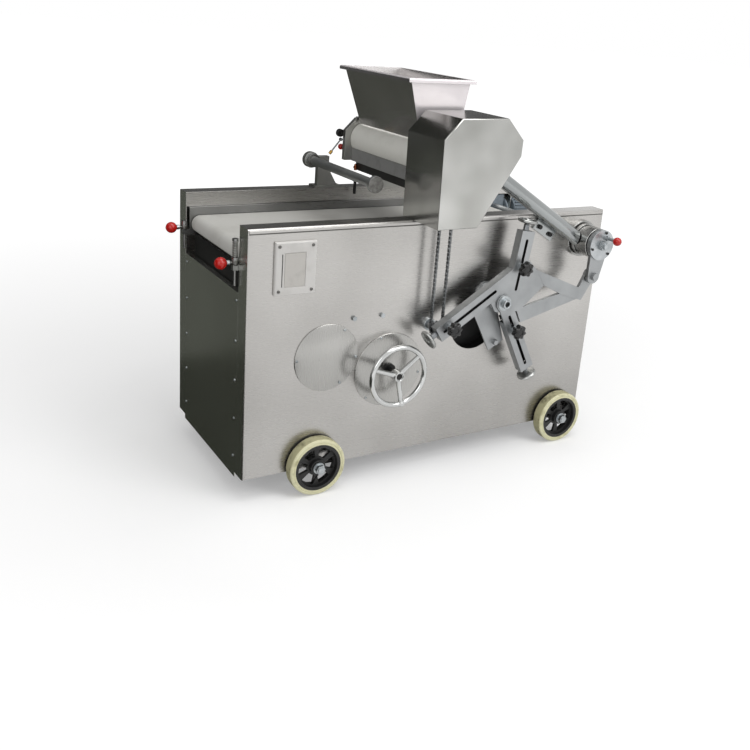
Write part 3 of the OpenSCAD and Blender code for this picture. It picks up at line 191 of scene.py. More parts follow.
def coat(name, tone, worn, rough, patch, worn_from=0.5, worn_to=0.8, metallic=0.0, grain=0.0):
    """A coloured surface: patches of a worn tone, patch mm across, and bumps 4 mm across, grain mm high."""
    finish = bpy.data.materials.new(name)
    tree = emptied(finish)
    place = add(tree, "TexCoord")
    blot = add(tree, "TexNoise", {"Scale": 1000 / patch, "Detail": 4.0, "Roughness": 0.6},
               {"Vector": place.outputs["Object"]})
    much = add(tree, "MapRange", {"From Min": worn_from, "From Max": worn_to}, {"Value": blot.outputs[0]})
    hue = add(tree, "Mix", {"data_type": "RGBA", 6: lin(tone), 7: lin(worn)}, {0: much.outputs[0]})
    shader = add(tree, "BsdfPrincipled", {"Metallic": metallic, "Roughness": rough},
                 {"Base Color": hue.outputs[2]})
    if grain:
        bump_size = 4.0
        fine = add(tree, "TexNoise", {"Scale": 1000 / bump_size, "Detail": 2.0},
                   {"Vector": place.outputs["Object"]})
        relief = add(tree, "Bump", {"Strength": 0.6, "Distance": grain / 1000}, {"Height": fine.outputs[0]})
        tree.links.new(relief.outputs[0], shader.inputs["Normal"])
    add(tree, "OutputMaterial", {}, {"Surface": shader.outputs[0]})
    return finish


def repaint(node, finish):
    """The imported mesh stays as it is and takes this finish."""
    mesh = frame["nodes"][node].data
    mesh.materials.clear()
    mesh.materials.append(finish)


# Enamel gives the eye a flat grey with slight orange-peel
enamel = coat("grey_enamel", "#7c7f80", "#5d6061", 0.45, 90, grain=0.05)
repaint("base_frame", enamel)


# Side panels: two long trays of folded stainless sheet, the front one with a round access hole and a hem
# along its top edge. The folds are rolled to a small radius; an end panel of the same sheet closes each end,
# and all are bolted to the base frame from inside.
def fresh():
    """Deselects everything."""
    bpy.ops.object.select_all(action="DESELECT")


def grip(piece):
    """Selects one piece alone and makes it the active one."""
    fresh()
    piece.select_set(True)
    bpy.context.view_layer.objects.active = piece
    return piece


def settled(piece, matrix=None):
    """Moves a piece by a matrix, where there is one, and puts its place, turn and scale into its mesh."""
    grip(piece)
    if matrix is not None:
        piece.matrix_world = matrix
    bpy.ops.object.transform_apply(location=True, rotation=True, scale=True)
    return piece


def eased(piece, width, segments=2, sharp=40, cut=False):
    """Rounds every edge sharper than an angle; cut makes triangles first, for faces with inner corners."""
    grip(piece)
    if cut:
        bpy.ops.object.mode_set(mode="EDIT")
        bpy.ops.mesh.select_all(action="SELECT")
        bpy.ops.mesh.quads_convert_to_tris(quad_method="BEAUTY", ngon_method="BEAUTY")
        bpy.ops.object.mode_set(mode="OBJECT")
    rounding = piece.modifiers.new("rounding", "BEVEL")
    rounding.width = width / 1000
    rounding.segments = segments
    rounding.limit_method = "ANGLE"
    rounding.angle_limit = math.radians(sharp)
    rounding.use_clamp_overlap = False
    bpy.ops.object.modifier_apply(modifier=rounding.name)
    bpy.ops.object.shade_smooth_by_angle(angle=math.radians(sharp))
    flats = piece.modifiers.new("flats", "WEIGHTED_NORMAL")
    flats.keep_sharp = True
    bpy.ops.object.modifier_apply(modifier=flats.name)
    return piece


def bevelled(piece, picks, offset, clamp=False):
    """Rounds the picked edges in edit mode, in four steps; picks holds true or false for each edge."""
    grip(piece)
    mesh = piece.data
    scene.tool_settings.mesh_select_mode = (False, True, False)
    mesh.vertices.foreach_set("select", [False] * len(mesh.vertices))
    mesh.polygons.foreach_set("select", [False] * len(mesh.polygons))
    mesh.edges.foreach_set("select", picks)
    bpy.ops.object.mode_set(mode="EDIT")
    bpy.ops.mesh.bevel(offset=offset / 1000, segments=4, affect="EDGES", clamp_overlap=clamp)
    bpy.ops.object.mode_set(mode="OBJECT")


def rounded(piece, offset, test):
    """Rounds the edges whose two ends both pass the test."""
    mesh = piece.data
    picks = [all(test(mesh.vertices[i].co) for i in edge.vertices) for edge in mesh.edges]
    bevelled(piece, picks, offset)


close = 1e-5


def same(a, b):
    """Two measures in metres that agree to a hundredth of a millimetre."""
    return abs(a - b) < close


def kept(piece, name, finish, body, slot, *nodes):
    """Names a piece, gives it its finish, ties it to its body, and hides the imported nodes that it stands
    for.
    """
    piece.name = name
    piece.data.name = name
    piece.data.materials.clear()
    piece.data.materials.append(finish)
    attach(piece, body)
    if nodes:
        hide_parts(*nodes)
    return piece


def refinished(piece, finish, test):
    """Gives the faces that pass the test another finish."""
    piece.data.materials.append(finish)
    index = len(piece.data.materials) - 1
    for face in piece.data.polygons:
        if test(face):
            face.material_index = index


def taken(node):
    """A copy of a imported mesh, merged into clean faces, to be worked on."""
    source = frame["nodes"][node]
    piece = source.copy()
    piece.data = source.data.copy()
    piece.parent = None
    piece.matrix_world = source.matrix_world.copy()
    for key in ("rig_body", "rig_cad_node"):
        if key in piece:
            del piece[key]
    scene.collection.objects.link(piece)
    settled(piece)
    bpy.ops.mesh.customdata_custom_splitnormals_clear()
    scene.tool_settings.mesh_select_mode = (True, False, False)
    bpy.ops.object.mode_set(mode="EDIT")
    bpy.ops.mesh.select_all(action="SELECT")
    bpy.ops.mesh.remove_doubles(threshold=2e-6)
    bpy.ops.mesh.dissolve_limited(angle_limit=math.radians(0.6))
    bpy.ops.object.mode_set(mode="OBJECT")
    return piece


def dressed(node, name, width, finish, slot, cut=False):
    """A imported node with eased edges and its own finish, in place of the bare one."""
    piece = eased(taken(node), width, cut=cut)
    return kept(piece, name, finish, frame["nodes"][node]["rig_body"], slot, node)


even = (1.0, 1.0, 1.0)
along_x = (0.03, 1.0, 1.0)
along_y = (1.0, 0.03, 1.0)
along_z = (1.0, 1.0, 0.03)


def steel(name, tone, shade, rough, brush=along_x, streak=3.0, cloud=160, bump=0.06, vary=0.05):
    """Bare metal: clouds of a darker shade, cloud mm across, and brushed streaks, streak mm wide."""
    finish = bpy.data.materials.new(name)
    tree = emptied(finish)
    place = add(tree, "TexCoord")
    drawn = add(tree, "Mapping", {"Scale": brush}, {"Vector": place.outputs["Object"]})
    lines = add(tree, "TexNoise", {"Scale": 1000 / streak, "Detail": 3.0, "Roughness": 0.65},
                {"Vector": drawn.outputs[0]})
    drift = add(tree, "TexNoise", {"Scale": 1000 / cloud, "Detail": 2.0}, {"Vector": place.outputs["Object"]})
    much = add(tree, "MapRange", {"From Min": 0.35, "From Max": 0.7}, {"Value": drift.outputs[0]})
    hue = add(tree, "Mix", {"data_type": "RGBA", 6: lin(tone), 7: lin(shade)}, {0: much.outputs[0]})
    gloss = add(tree, "MapRange", {"From Min": 0.25, "From Max": 0.75, "To Min": rough - vary,
                                   "To Max": rough + vary}, {"Value": lines.outputs[0]})
    relief = add(tree, "Bump", {"Strength": bump, "Distance": 0.0001}, {"Height": lines.outputs[0]})
    shader = add(tree, "BsdfPrincipled", {"Metallic": 1.0},
                 {"Base Color": hue.outputs[2], "Roughness": gloss.outputs[0], "Normal": relief.outputs[0]})
    add(tree, "OutputMaterial", {}, {"Surface": shader.outputs[0]})
    return finish


def block(x0, x1, y0, y1, z0, z1):
    """A plain block between two corners in mm."""
    fresh()
    bpy.ops.mesh.primitive_cube_add(size=1, location=(at(x0, y0, z0) + at(x1, y1, z1)) / 2)
    piece = bpy.context.object
    piece.scale = ((x1 - x0) / 1000, (y1 - y0) / 1000, (z1 - z0) / 1000)
    return settled(piece)


# Brushed sheet gives long soft reflections; the streaks are drawn 3 mm wide, as finer ones would not show
sheet = steel("brushed_stainless", "#b6b4b1", "#a4a29f", 0.28, cloud=420, bump=0.012, vary=0.025)
# The ends are brushed across the machine; their paler, more even grey is painted light, which lifts the
# endwise faces against the dark flags
lit_end_sheet = steel("brushed_stainless_end_lit", "#dedfd9", "#cfd0ca", 0.26, along_y, cloud=500, bump=0.004,
                  vary=0.012)
panel_length = 1270
panel_top = 817
fold_radius = 5
for node, name, outer_y in (("front_panel", "front_side_panel", 0), ("rear_panel", "rear_side_panel", 550)):
    tray = taken(node)
    face_y = at(0, outer_y, 0)[1]
    top_z = at(0, 0, panel_top)[2]
    rounded(tray, fold_radius, lambda v: same(v[1], face_y) and same(v[2], top_z))
    for side_x in (at(0, 0, 0)[0], at(panel_length, 0, 0)[0]):
        rounded(tray, fold_radius, lambda v: same(v[1], face_y) and same(v[0], side_x) and v[2] < top_z)
    eased(tray, 0.7)
    kept(tray, name, sheet, "machine", "stainless", node)
    # The tray's endwise faces take the paler copy: painted light
    refinished(tray, lit_end_sheet, lambda face: abs(face.normal[0]) > 0.7)
hem_from = 4
hem_to = panel_length - 4
hem = eased(block(hem_from, hem_to, -1.6, 1.2, 804, 812.5), 1.2, 3)
kept(hem, "front_panel_hem", sheet, "machine", "stainless")
# A dark strip in the seam under the hem is painted shadow: it gives the thin dark line that the hem would
# shade
painted_hem_shadow = coat("painted_hem_shadow", "#4c4b48", "#605f5b", 0.5, 60)
seam = eased(block(hem_from, hem_to, -0.5, 1.2, 800.8, 804.2), 0.2)
kept(seam, "front_panel_hem_shadow_line", painted_hem_shadow, "machine", "stainless")
# The end panels take the paler copy too: painted light
for end in ("infeed", "outfeed"):
    dressed("%s_end_panel" % end, "%s_end_panel_sheet" % end, 0.8, lit_end_sheet, "end_steel")


# Wheels: moulded black cores with six openings, and cast polyurethane tyres pressed on.
# They turn on plain axles, held by a washer and a nut.
def facing(spot, axis):
    """The matrix that takes a piece standing at the origin to a spot, with its height along an axis."""
    swing = Vector((0, 0, 1)).rotation_difference(Vector(axis)).to_matrix().to_4x4()
    return Matrix.Translation(spot) @ swing


def turned(profile, spot, axis, steps=64):
    """Spins a closed outline of (radius, height) points in mm about an axis through spot."""
    fresh()
    bpy.ops.mesh.primitive_circle_add(vertices=len(profile), radius=1, fill_type="NOTHING")
    piece = bpy.context.object
    for vertex, (r, h) in zip(piece.data.vertices, profile):
        vertex.co = (r / 1000, 0, h / 1000)
    bpy.ops.object.mode_set(mode="EDIT")
    bpy.ops.mesh.select_all(action="SELECT")
    bpy.ops.mesh.spin(steps=steps, angle=math.tau, center=(0, 0, 0), axis=(0, 0, 1))
    bpy.ops.mesh.select_all(action="SELECT")
    bpy.ops.mesh.remove_doubles(threshold=2e-6)
    bpy.ops.mesh.normals_make_consistent(inside=False)
    bpy.ops.object.mode_set(mode="OBJECT")
    settled(piece, facing(spot, axis))
    bpy.ops.object.shade_smooth_by_angle(angle=math.radians(35))
    return piece


def joined(parts):
    """Makes one piece of several."""
    fresh()
    for part in parts:
        part.select_set(True)
    bpy.context.view_layer.objects.active = parts[0]
    bpy.ops.object.join()
    return parts[0]


# Polyurethane gives a waxy cream with olive floor dirt in patches
rubber = coat("cast_polyurethane", "#d8d5b2", "#aaa57d", 0.5, 34, 0.52, 0.8, grain=0.15)
# The running face has taken up floor dirt, which gives it a darker olive
worn_rubber = coat("floor_worn_polyurethane", "#a9a582", "#5c5840", 0.6, 30, 0.48, 0.72, grain=0.2)
# The side towards the panel is painted near-black: painted shade between wheel and panel, which the sheet
# mirrors as a dark rim
panel_side_shade = coat("panel_side_shade_polyurethane", "#2a2923", "#1c1b17", 0.7, 30)
# Moulded nylon gives a soft black
moulding = coat("black_moulded_nylon", "#151515", "#22211f", 0.5, 25, grain=0.08)
# Zinc plating gives a bluish grey with a dull sparkle
zinc = steel("zinc_plate", "#b4b8ba", "#8f9496", 0.36, even, streak=8, cloud=30)
to_back = (0, 1, 0)
axle_z = 90
running_radius = 86
tread = [(74, -20), (77.4, -20), (78.2, -18.6), (80.2, -18.6), (81, -20), (84.5, -20), (87.8, -18.4),
         (89.6, -15), (90, -11), (90, 11), (89.6, 15), (87.8, 18.4), (84.5, 20), (81, 20), (80.2, 18.6),
         (78.2, 18.6), (77.4, 20), (74, 20)]
for axle, x in (("in", 226), ("out", 1165)):
    for side, y, inward in (("front", -22, 1), ("rear", 572, -1)):
        corner = "%s_%s" % (side, axle)
        body = "wheel_" + corner
        centre = at(x, y, axle_z)
        tyre = turned(tread, centre, to_back, 96)
        kept(tyre, "tyre_tread_" + corner, rubber, body, "tyre_cream", "tyre_" + corner)
        refinished(tyre, worn_rubber, lambda face: abs(face.normal[1]) < 0.4
                   and (face.center - centre).length > running_radius / 1000)
        # The faces turned to the panel take the painted shade
        refinished(tyre, panel_side_shade, lambda face: face.normal[1] * inward > 0.4)
        core = taken("core_" + corner)
        scene.tool_settings.mesh_select_mode = (False, True, False)
        bpy.ops.object.mode_set(mode="EDIT")
        bpy.ops.mesh.select_all(action="DESELECT")
        bpy.ops.mesh.edges_select_sharp(sharpness=math.radians(40))
        bpy.ops.object.mode_set(mode="OBJECT")
        points = [vertex.co for vertex in core.data.vertices]
        upright = [edge.select and (points[edge.vertices[0]] - points[edge.vertices[1]]).xz.length < close
                   for edge in core.data.edges]
        bevelled(core, upright, 6, clamp=True)
        eased(core, 0.9)
        kept(core, "wheel_core_" + corner, moulding, body, "core_black", "core_" + corner)
dressed("wheel_axles", "axle_rods", 0.8, zinc, "zinc")


# Covers on the front panel: two round plates, one behind the handwheel, and a bare name plate holder.
# Cut from stainless, edges broken, each held by small socket screws; two hex bolts sit in the bare sheet.
to_front = (0, -1, 0)
to_left = (-1, 0, 0)
cover_x, cover_z = 254, 422
lift_x, lift_z = 468, 356
# Cover plate, brushed upright, gives a slightly darker disc on the panel
cover_plate = steel("upright_brushed_stainless", "#adaca9", "#9f9e9b", 0.27, along_z, cloud=300, bump=0.006,
                    vary=0.012)
disc = [(0, 0), (101.8, 0), (103, 0.8), (103, 2.2), (101.8, 3), (0, 3)]
kept(turned(disc, at(cover_x, 0, cover_z), to_front, 96), "inspection_disc", cover_plate, "machine",
     "stainless", "inspection_cover")
ring = [(10.1, 0), (116, 0), (117, 0.8), (117, 2.2), (116, 3), (10.1, 3)]
kept(turned(ring, at(lift_x, 0, lift_z), to_front, 96), "handwheel_disc", cover_plate, "machine",
     "stainless", "handwheel_backplate")


def on_outline(v, low, high, axes):
    """Whether a point lies on the outline of a box, seen along the axis that is left out."""
    return any(min(v[k] - low[k], high[k] - v[k]) < close for k in axes)


holder = taken("name_plate")
plate_low, plate_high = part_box("name_plate")
rounded(holder, 5.5, lambda v: same(v[1], plate_low[1]) and on_outline(v, plate_low, plate_high, (0, 2)))
eased(holder, 0.8)
# Enamel on the holder gives a satin pale grey
satin = coat("satin_enamel", "#c9c7c4", "#bab8b4", 0.36, 70)
kept(holder, "name_plate_holder", satin, "machine", "plate_white", "name_plate")
insert = eased(block(106.5, 167.5, -9.3, -8.0, 650.5, 746.5), 0.5)
# Plain card gives a grey a little darker than the holder
card = coat("plain_card", "#b9b6b1", "#a7a49f", 0.4, 40)
kept(insert, "name_plate_insert", card, "machine", "plate_white")
# A dark rubber strip along the insert's left edge is painted shadow: it gives the thin black line that the
# recess shades there
plate_shadow_rubber = coat("painted_shadow_rubber", "#2a2a29", "#363533", 0.6, 20)
shadow_strip = eased(block(97, 99.5, -10.7, -9.6, 652, 745), 0.4)
kept(shadow_strip, "name_plate_shadow_line", plate_shadow_rubber, "machine", "plate_white")


def screw_heads(places, r, out):
    """Low socket heads of radius r mm, one at each place, facing out, joined into one piece."""
    head = [(0, 0), (r, 0), (r, 0.3 * r), (0.85 * r, 0.52 * r), (0.6 * r, 0.62 * r), (0.48 * r, 0.6 * r),
            (0.43 * r, 0.25 * r), (0, 0.25 * r)]
    return joined([turned(head, at(*spot), out, 24) for spot in places])


def around(x, z, r, angle):
    """The x and z that lie r mm from a centre, at an angle in degrees, seen from the front."""
    return x + r * math.cos(math.radians(angle)), z + r * math.sin(math.radians(angle))


disc_places = []
for centre, reach, angles in (((cover_x, cover_z), 96.5, (56, 179, -61, -5)),
                              ((lift_x, lift_z), 110.5, (108, 228, 348))):
    for angle in angles:
        x, z = around(*centre, reach, angle)
        disc_places.append((x, -3, z))
end_places = [(0, y, 125 + i * 118.75) for i in range(5) for y in (69, 481)]
heads = [screw_heads(disc_places, 4, to_front), screw_heads(end_places, 4, to_left)]
bolt_z = 534
for bolt_x in (337, 432):
    fresh()
    bpy.ops.mesh.primitive_cylinder_add(vertices=6, radius=0.008, depth=0.008,
                                        location=at(bolt_x, -4, bolt_z), rotation=(math.pi / 2, 0, 0))
    heads.append(eased(settled(bpy.context.object), 0.9))
kept(joined(heads), "panel_screw_heads", zinc, "machine", "zinc", "panel_screws")
# Oxidised heads give small dark spots on the pale holder
oxide = steel("oxidised_steel", "#83827f", "#63625f", 0.4, even, streak=6, cloud=12)
plate_places = [(x, -10, z) for x in (89, 189) for z in (640, 767)]
kept(screw_heads(plate_places, 4.6, to_front), "name_plate_screws", oxide, "machine", "zinc")


# Pan behind the access hole: a black dish on the panel's back, painted shade that makes the hole look dark.
# Its floor stands well behind the hole and leaves the hole's mouth free.
hole_x, hole_z = 777, 474
pan = [(92, 3.1), (97, 3.1), (97, 5.5), (95.5, 7), (95.5, 43), (92, 46), (0, 46), (0, 44), (91, 44), (92, 43)]
# A dull black with hardly a reflection: painted shade, in the access hole, under the belt and in the rocker's
# channels
shade_black = coat("painted_shade_black", "#0d0d0d", "#151514", 0.6, 40)
kept(turned(pan, at(hole_x, 0, hole_z), to_back, 64), "access_hole_shade_pan", shade_black, "machine", "stainless")


# Handwheel: a chromed casting with a rolled rim, three tapering spokes and a dished hub, pinned to the
# lift shaft. The lowest spoke ends in a boss with a plain hole for a crank handle.
def bar(start, end, r0, r1, sides=32):
    """A plain or tapering round bar between two points in mm."""
    fresh()
    a, b = at(*start), at(*end)
    bpy.ops.mesh.primitive_cone_add(vertices=sides, radius1=r0 / 1000, radius2=r1 / 1000,
                                    depth=(b - a).length)
    return settled(bpy.context.object, facing((a + b) / 2, (b - a).normalized()))


# Chrome gives a hard bright mirror
chrome = steel("chrome", "#c9cac9", "#b9bab9", 0.15, even, streak=30, cloud=80)
lift_y = -62
lowest = 280
rim = []
for i in range(24):
    a = math.tau * i / 24
    rim.append((91.7 + 8.3 * math.cos(a), 8.8 * math.sin(a)))
wheel = [turned(rim, at(lift_x, lift_y, lift_z), to_front, 96)]
for angle in (40, 160, lowest):
    x0, z0 = around(lift_x, lift_z, 13, angle)
    x1, z1 = around(lift_x, lift_z, 91, angle)
    wheel.append(eased(bar((x0, -58, z0), (x1, lift_y, z1), 8.5, 6.5), 0.5))
hub = [(10.05, -22), (15, -22), (17, -20), (17, 4), (15.6, 8), (13, 8), (11.5, 5.5), (10.05, 5.5)]
wheel.append(turned(hub, at(lift_x, lift_y, lift_z), to_front, 48))
boss = [(4, -6), (9, -6), (10, -4.5), (10, 7), (9, 8.5), (4, 8.5)]
boss_x, boss_z = around(lift_x, lift_z, 90, lowest)
wheel.append(turned(boss, at(boss_x, lift_y, boss_z), to_front, 32))
kept(joined(wheel), "handwheel_casting", chrome, "lift_wheel", "chrome", "handwheel")
# Blackened steel gives a dark oily sheen; in the pivot screw's socket the same black is painted shade
blackened_and_shade = coat("blackened_steel_and_shade", "#222222", "#34332f", 0.35, 18, metallic=0.6)
dressed("lift_shaft", "lift_shaft_collar", 0.5, blackened_and_shade, "shaft_black")


# Conveyor table: two stainless side rails on cross bars with a bed, an endless PVC belt over two rollers.
# Ball levers swing on studs at the infeed end; the front stud carries a coil spring under a nut.
upward = (0, 0, 1)
# Rail stock gives a darker, softer grey than the panels
rail_steel = steel("drawn_stainless_rail", "#949493", "#828281", 0.3)
dressed("conveyor_table", "table_weldment", 0.6, rail_steel, "table_steel")
# Woven PVC gives a matt off-white with faint flour marks
pvc = coat("woven_pvc", "#b9b8b3", "#aba9a3", 0.55, 120, grain=0.06)
repaint("belt", pvc)
repaint("nose_roller", zinc)
repaint("drive_roller", zinc)
# A black sheet under the belt's nose is painted shade, for the dark inside of the cabinet
skirt = eased(block(24, 26, 74, 476, 602, 690), 0.6)
kept(skirt, "belt_nose_shade_skirt", shade_black, "table", "table_steel")


def ball_arc(r, first, step, count):
    """Points on the outline of a ball of radius r mm, upwards from an angle by equal steps in degrees."""
    return [around(0, 0, r, first + step * i) for i in range(1, count + 1)]


# Phenolic gives a deep glossy red
phenolic = coat("red_phenolic", "#b4150f", "#a9120e", 0.22, 60)
ball_x = -49
stud_x = -8
lever_z = 711.2
ball = [(0, -16.8), (5.5, -16.6)] + ball_arc(17, -75, 150 / 14, 14) + [(4, 17), (0, 17)]
ferrule = [(0, -25), (6.4, -25), (7.2, -24), (7.2, -16.5), (5.5, -15.6), (0, -15.6)]
collar = [(5.1, -8), (9.4, -8), (10, -7), (10, 7), (9.4, 8), (5.1, 8)]
for side, y in (("front", 66), ("rear", 484)):
    body = "%s_handle" % side
    centre = at(ball_x, y, lever_z)
    kept(turned(ball, centre, to_left, 48), "%s_lever_ball" % side, phenolic, body, "lever_red",
         "%s_lever" % side)
    kept(turned(ferrule, centre, to_left, 32), "%s_lever_ferrule" % side, zinc, body, "zinc")
    stem = [eased(bar((-10, y, lever_z), (-26, y, lever_z), 4.4, 4.4, 24), 0.4),
            turned(collar, at(stud_x, y, lever_z), upward, 36)]
    kept(joined(stem), "%s_lever_stem" % side, oxide, body, "zinc")
coil_low, coil_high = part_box("lever_spring")
coil_turns = 9
coil_end = 0.001
fresh()
bpy.ops.mesh.primitive_circle_add(vertices=12, radius=0.00115, location=(0.0073, 0, 0),
                                  rotation=(math.pi / 2, 0, 0))
coil = settled(bpy.context.object)
wind = coil.modifiers.new("wind", "SCREW")
wind.axis = "Z"
wind.iterations = coil_turns
wind.steps = wind.render_steps = 28
wind.screw_offset = (coil_high[2] - coil_low[2] - 2 * coil_end) / coil_turns
bpy.ops.object.modifier_apply(modifier=wind.name)
bpy.ops.object.mode_set(mode="EDIT")
bpy.ops.mesh.select_all(action="SELECT")
bpy.ops.mesh.fill_holes(sides=12)
bpy.ops.mesh.select_all(action="SELECT")
bpy.ops.mesh.normals_make_consistent(inside=False)
bpy.ops.object.mode_set(mode="OBJECT")
coil.location = ((coil_low[0] + coil_high[0]) / 2, (coil_low[1] + coil_high[1]) / 2, coil_low[2] + coil_end)
settled(coil)
bpy.ops.object.shade_smooth_by_angle(angle=math.radians(40))
# Spring steel gives thin pale lines with dark gaps
wire = steel("spring_steel_wire", "#b3b3ae", "#8d8d89", 0.34, even, streak=6, cloud=20)
kept(coil, "lever_coil_spring", wire, "table", "zinc", "lever_spring")


# Depositing head: two end plates on feet, a folded hopper with a rolled rim, a dark cast manifold,
# and a black nozzle bar under it; two nylon feed rollers turn between the plates.

# Ground plate gives an upright, slightly cloudy grey
plate_steel = steel("ground_stainless_plate", "#b9b9b6", "#9b9b97", 0.36, along_z)
for side in ("near", "far"):
    dressed("%s_head_plate" % side, "%s_end_plate" % side, 0.9, plate_steel, "stainless")
bowl = taken("hopper")
rim_low, rim_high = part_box("hopper")
rounded(bowl, 4.5, lambda v: same(v[2], rim_high[2]) and on_outline(v, rim_low, rim_high, (0, 1)))
eased(bowl, 0.6)
# Polished sheet gives a brighter, cooler mirror than the panels
polished = steel("polished_stainless", "#cac7c6", "#bebbba", 0.22, along_z, cloud=260, bump=0.02, vary=0.03)
kept(bowl, "hopper_sheet", polished, "machine", "stainless", "hopper")
# A paler, half-metallic copy on the front and the rim is painted light: it gives these faces a milky white
# next to the dark left
lit_front_finish = coat("lit_front_stainless", "#e2dcde", "#d8d2d4", 0.36, 240, metallic=0.55)
behind_front = at(0, 200, 0)[1]
rim_depth = 0.005


def on_lit_faces(face):
    """The outer faces of the front sheet and the upper faces of the rim."""
    on_front = face.normal[1] < -0.5 and face.center[1] < behind_front
    on_rim = face.center[2] > rim_high[2] - rim_depth and face.normal[2] > 0.3
    return on_front or on_rim


# The front and rim faces take the lit copy: painted light
refinished(bowl, lit_front_finish, on_lit_faces)
# Cast iron gives a dark grey with a fine sandy skin
casting = coat("dark_cast_iron", "#888887", "#767674", 0.5, 40, metallic=0.2, grain=0.12)
dressed("manifold", "manifold_casting", 1.0, casting, "dark_casting")
# Acetal gives a smooth satin black
acetal = coat("black_acetal", "#1c1c1c", "#262626", 0.38, 20)
dressed("nozzles", "nozzle_bar", 0.6, acetal, "nozzle_black")
# Nylon gives a milky off-white
nylon = coat("nylon", "#dcdbd4", "#cfcec6", 0.4, 90)
for node in ("feed_roller_left", "feed_roller_right"):
    repaint(node, nylon)
# Cut steel gives a dull machined grey
cut_steel = steel("machined_steel", "#8e9092", "#74777a", 0.34, even, streak=5, cloud=25)
for node in ("feed_gear_left", "feed_gear_right", "lower_sprocket"):
    repaint(node, cut_steel)


# Gear cover: a folded stainless box over the gears, its front edges rolled to a small radius,
# open below to let the chain out; screwed to the near end plate.
cover = taken("gear_cover")
cover_y = at(0, -130, 0)[1]
rounded(cover, 3.5, lambda v: same(v[1], cover_y))
eased(cover, 0.5)
# Bright-finished sheet gives a clearer mirror than the panels, with broad darker clouds
cover_sheet = steel("bright_stainless", "#bcbcb9", "#9c9c98", 0.19, along_z, cloud=190, bump=0.015,
                    vary=0.025)
kept(cover, "gear_cover_box", cover_sheet, "machine", "stainless", "gear_cover")


# Roller chain: waisted link plates in inner and outer pairs on pins with rollers, stamped from steel
# and oiled; one endless loop over the left feed gear's sprocket and the sprocket on the panel.
chain_x, chain_y = 602, -42
chain_low, chain_high = 487.7, 983
chain_pitch = 12.7
sprocket_radius = 20.549


def link_plate(y0, y1):
    """One waisted plate lying along x, its ends a pitch apart, the first one around the origin."""
    fresh()
    bpy.ops.mesh.primitive_circle_add(vertices=20, radius=0.0042, fill_type="NGON",
                                      rotation=(math.pi / 2, 0, 0))
    piece = settled(bpy.context.object)
    half = chain_pitch / 2
    for vertex in piece.data.vertices:
        x = vertex.co[0] * 1000
        if abs(x) < 2.0:
            vertex.co[2] *= 0.62
        vertex.co[0] = (x + half + (half if x > 0.5 else -half if x < -0.5 else 0)) / 1000
        vertex.co[1] = y0 / 1000
    bpy.ops.object.mode_set(mode="EDIT")
    bpy.ops.mesh.select_all(action="SELECT")
    bpy.ops.mesh.extrude_region_move(TRANSFORM_OT_translate={"value": (0, (y1 - y0) / 1000, 0)})
    bpy.ops.mesh.select_all(action="SELECT")
    bpy.ops.mesh.normals_make_consistent(inside=False)
    bpy.ops.object.mode_set(mode="OBJECT")
    return eased(piece, 0.25, 1)


def copied(piece, matrix):
    """A copy with its own mesh, moved by a matrix."""
    twin = piece.copy()
    twin.data = piece.data.copy()
    scene.collection.objects.link(twin)
    return settled(twin, matrix)


strand = 40
bends = (36, 72, 108, 144)
pins = [(chain_x + sprocket_radius, chain_low + i * chain_pitch) for i in range(strand)]
pins += [around(chain_x, chain_high, sprocket_radius, a) for a in bends]
pins += [(chain_x - sprocket_radius, chain_high - i * chain_pitch) for i in range(strand)]
pins += [around(chain_x, chain_low, -sprocket_radius, a) for a in bends]
outer = joined([link_plate(-5.4, -3.9), link_plate(3.9, 5.4)])
inner = joined([link_plate(-3.8, -2.5), link_plate(2.5, 3.8)])
pin_outline = [(0, -5.9), (1.8, -5.9), (2.1, -5.6), (2.1, -2.4), (3.9, -2.4), (3.9, 2.4), (2.1, 2.4),
               (2.1, 5.6), (1.8, 5.9), (0, 5.9)]
pin = turned(pin_outline, (0, 0, 0), to_back, 12)
links = []
for i, (x, z) in enumerate(pins):
    next_x, next_z = pins[(i + 1) % len(pins)]
    spot = Matrix.Translation(at(x, chain_y, z))
    lean = Matrix.Rotation(-math.atan2(next_z - z, next_x - x), 4, "Y")
    links.append(copied(outer if i % 2 else inner, spot @ lean))
    links.append(copied(pin, spot))
for spare in (outer, inner, pin):
    bpy.data.objects.remove(spare)
# Oiled steel gives a dark grey with small bright edges
oiled = steel("oiled_steel", "#77797a", "#4c4e4f", 0.34, even, streak=6, cloud=40)
kept(joined(links), "roller_chain", oiled, "machine", "chain_steel", "chain")


# Cross bar and post: a ground steel bar with a collar at each end, its front faces dull with oxide,
# clamped in a gusseted post of stainless plate that is bolted to the rear panel.

# Ground bar gives an even grey, matt next to the polished hopper
bar_steel = steel("ground_steel_bar", "#b6b8b8", "#a2a4a4", 0.4, along_y)
cross = dressed("cross_bar", "cross_bar_collars", 1.2, bar_steel, "zinc")
refinished(cross, oxide, lambda face: face.normal[1] < -0.9)
dressed("bar_post", "cross_bar_post", 1.0, plate_steel, "stainless")


# Brace: stainless tube from the gear cover to the shaft housing, with a foot of flat bar on the panel.
# The foot is held by two blackened bolts, one on each side of the tube.

# Drawn tube gives a smooth, narrow band of light along its length
tube_steel = steel("drawn_stainless_tube", "#9fa2a2", "#929595", 0.2, even, streak=60, cloud=300, bump=0.01,
                   vary=0.02)
brace = dressed("brace_tube", "brace_tube_foot", 0.5, tube_steel, "stainless")
tube_head = at(745, 0, 970)
tube_run = (at(1118, 0, 745) - tube_head).normalized()
foot_face = at(0, -8.2, 0)[1]


def on_bolt(face):
    """A face in front of the foot, about 40 mm to either side of the tube's line."""
    beside = abs((face.center - tube_head).cross(tube_run)[1]) * 1000
    return abs(beside - 40) < 9 and face.center[1] < foot_face


refinished(brace, blackened_and_shade, on_bolt)


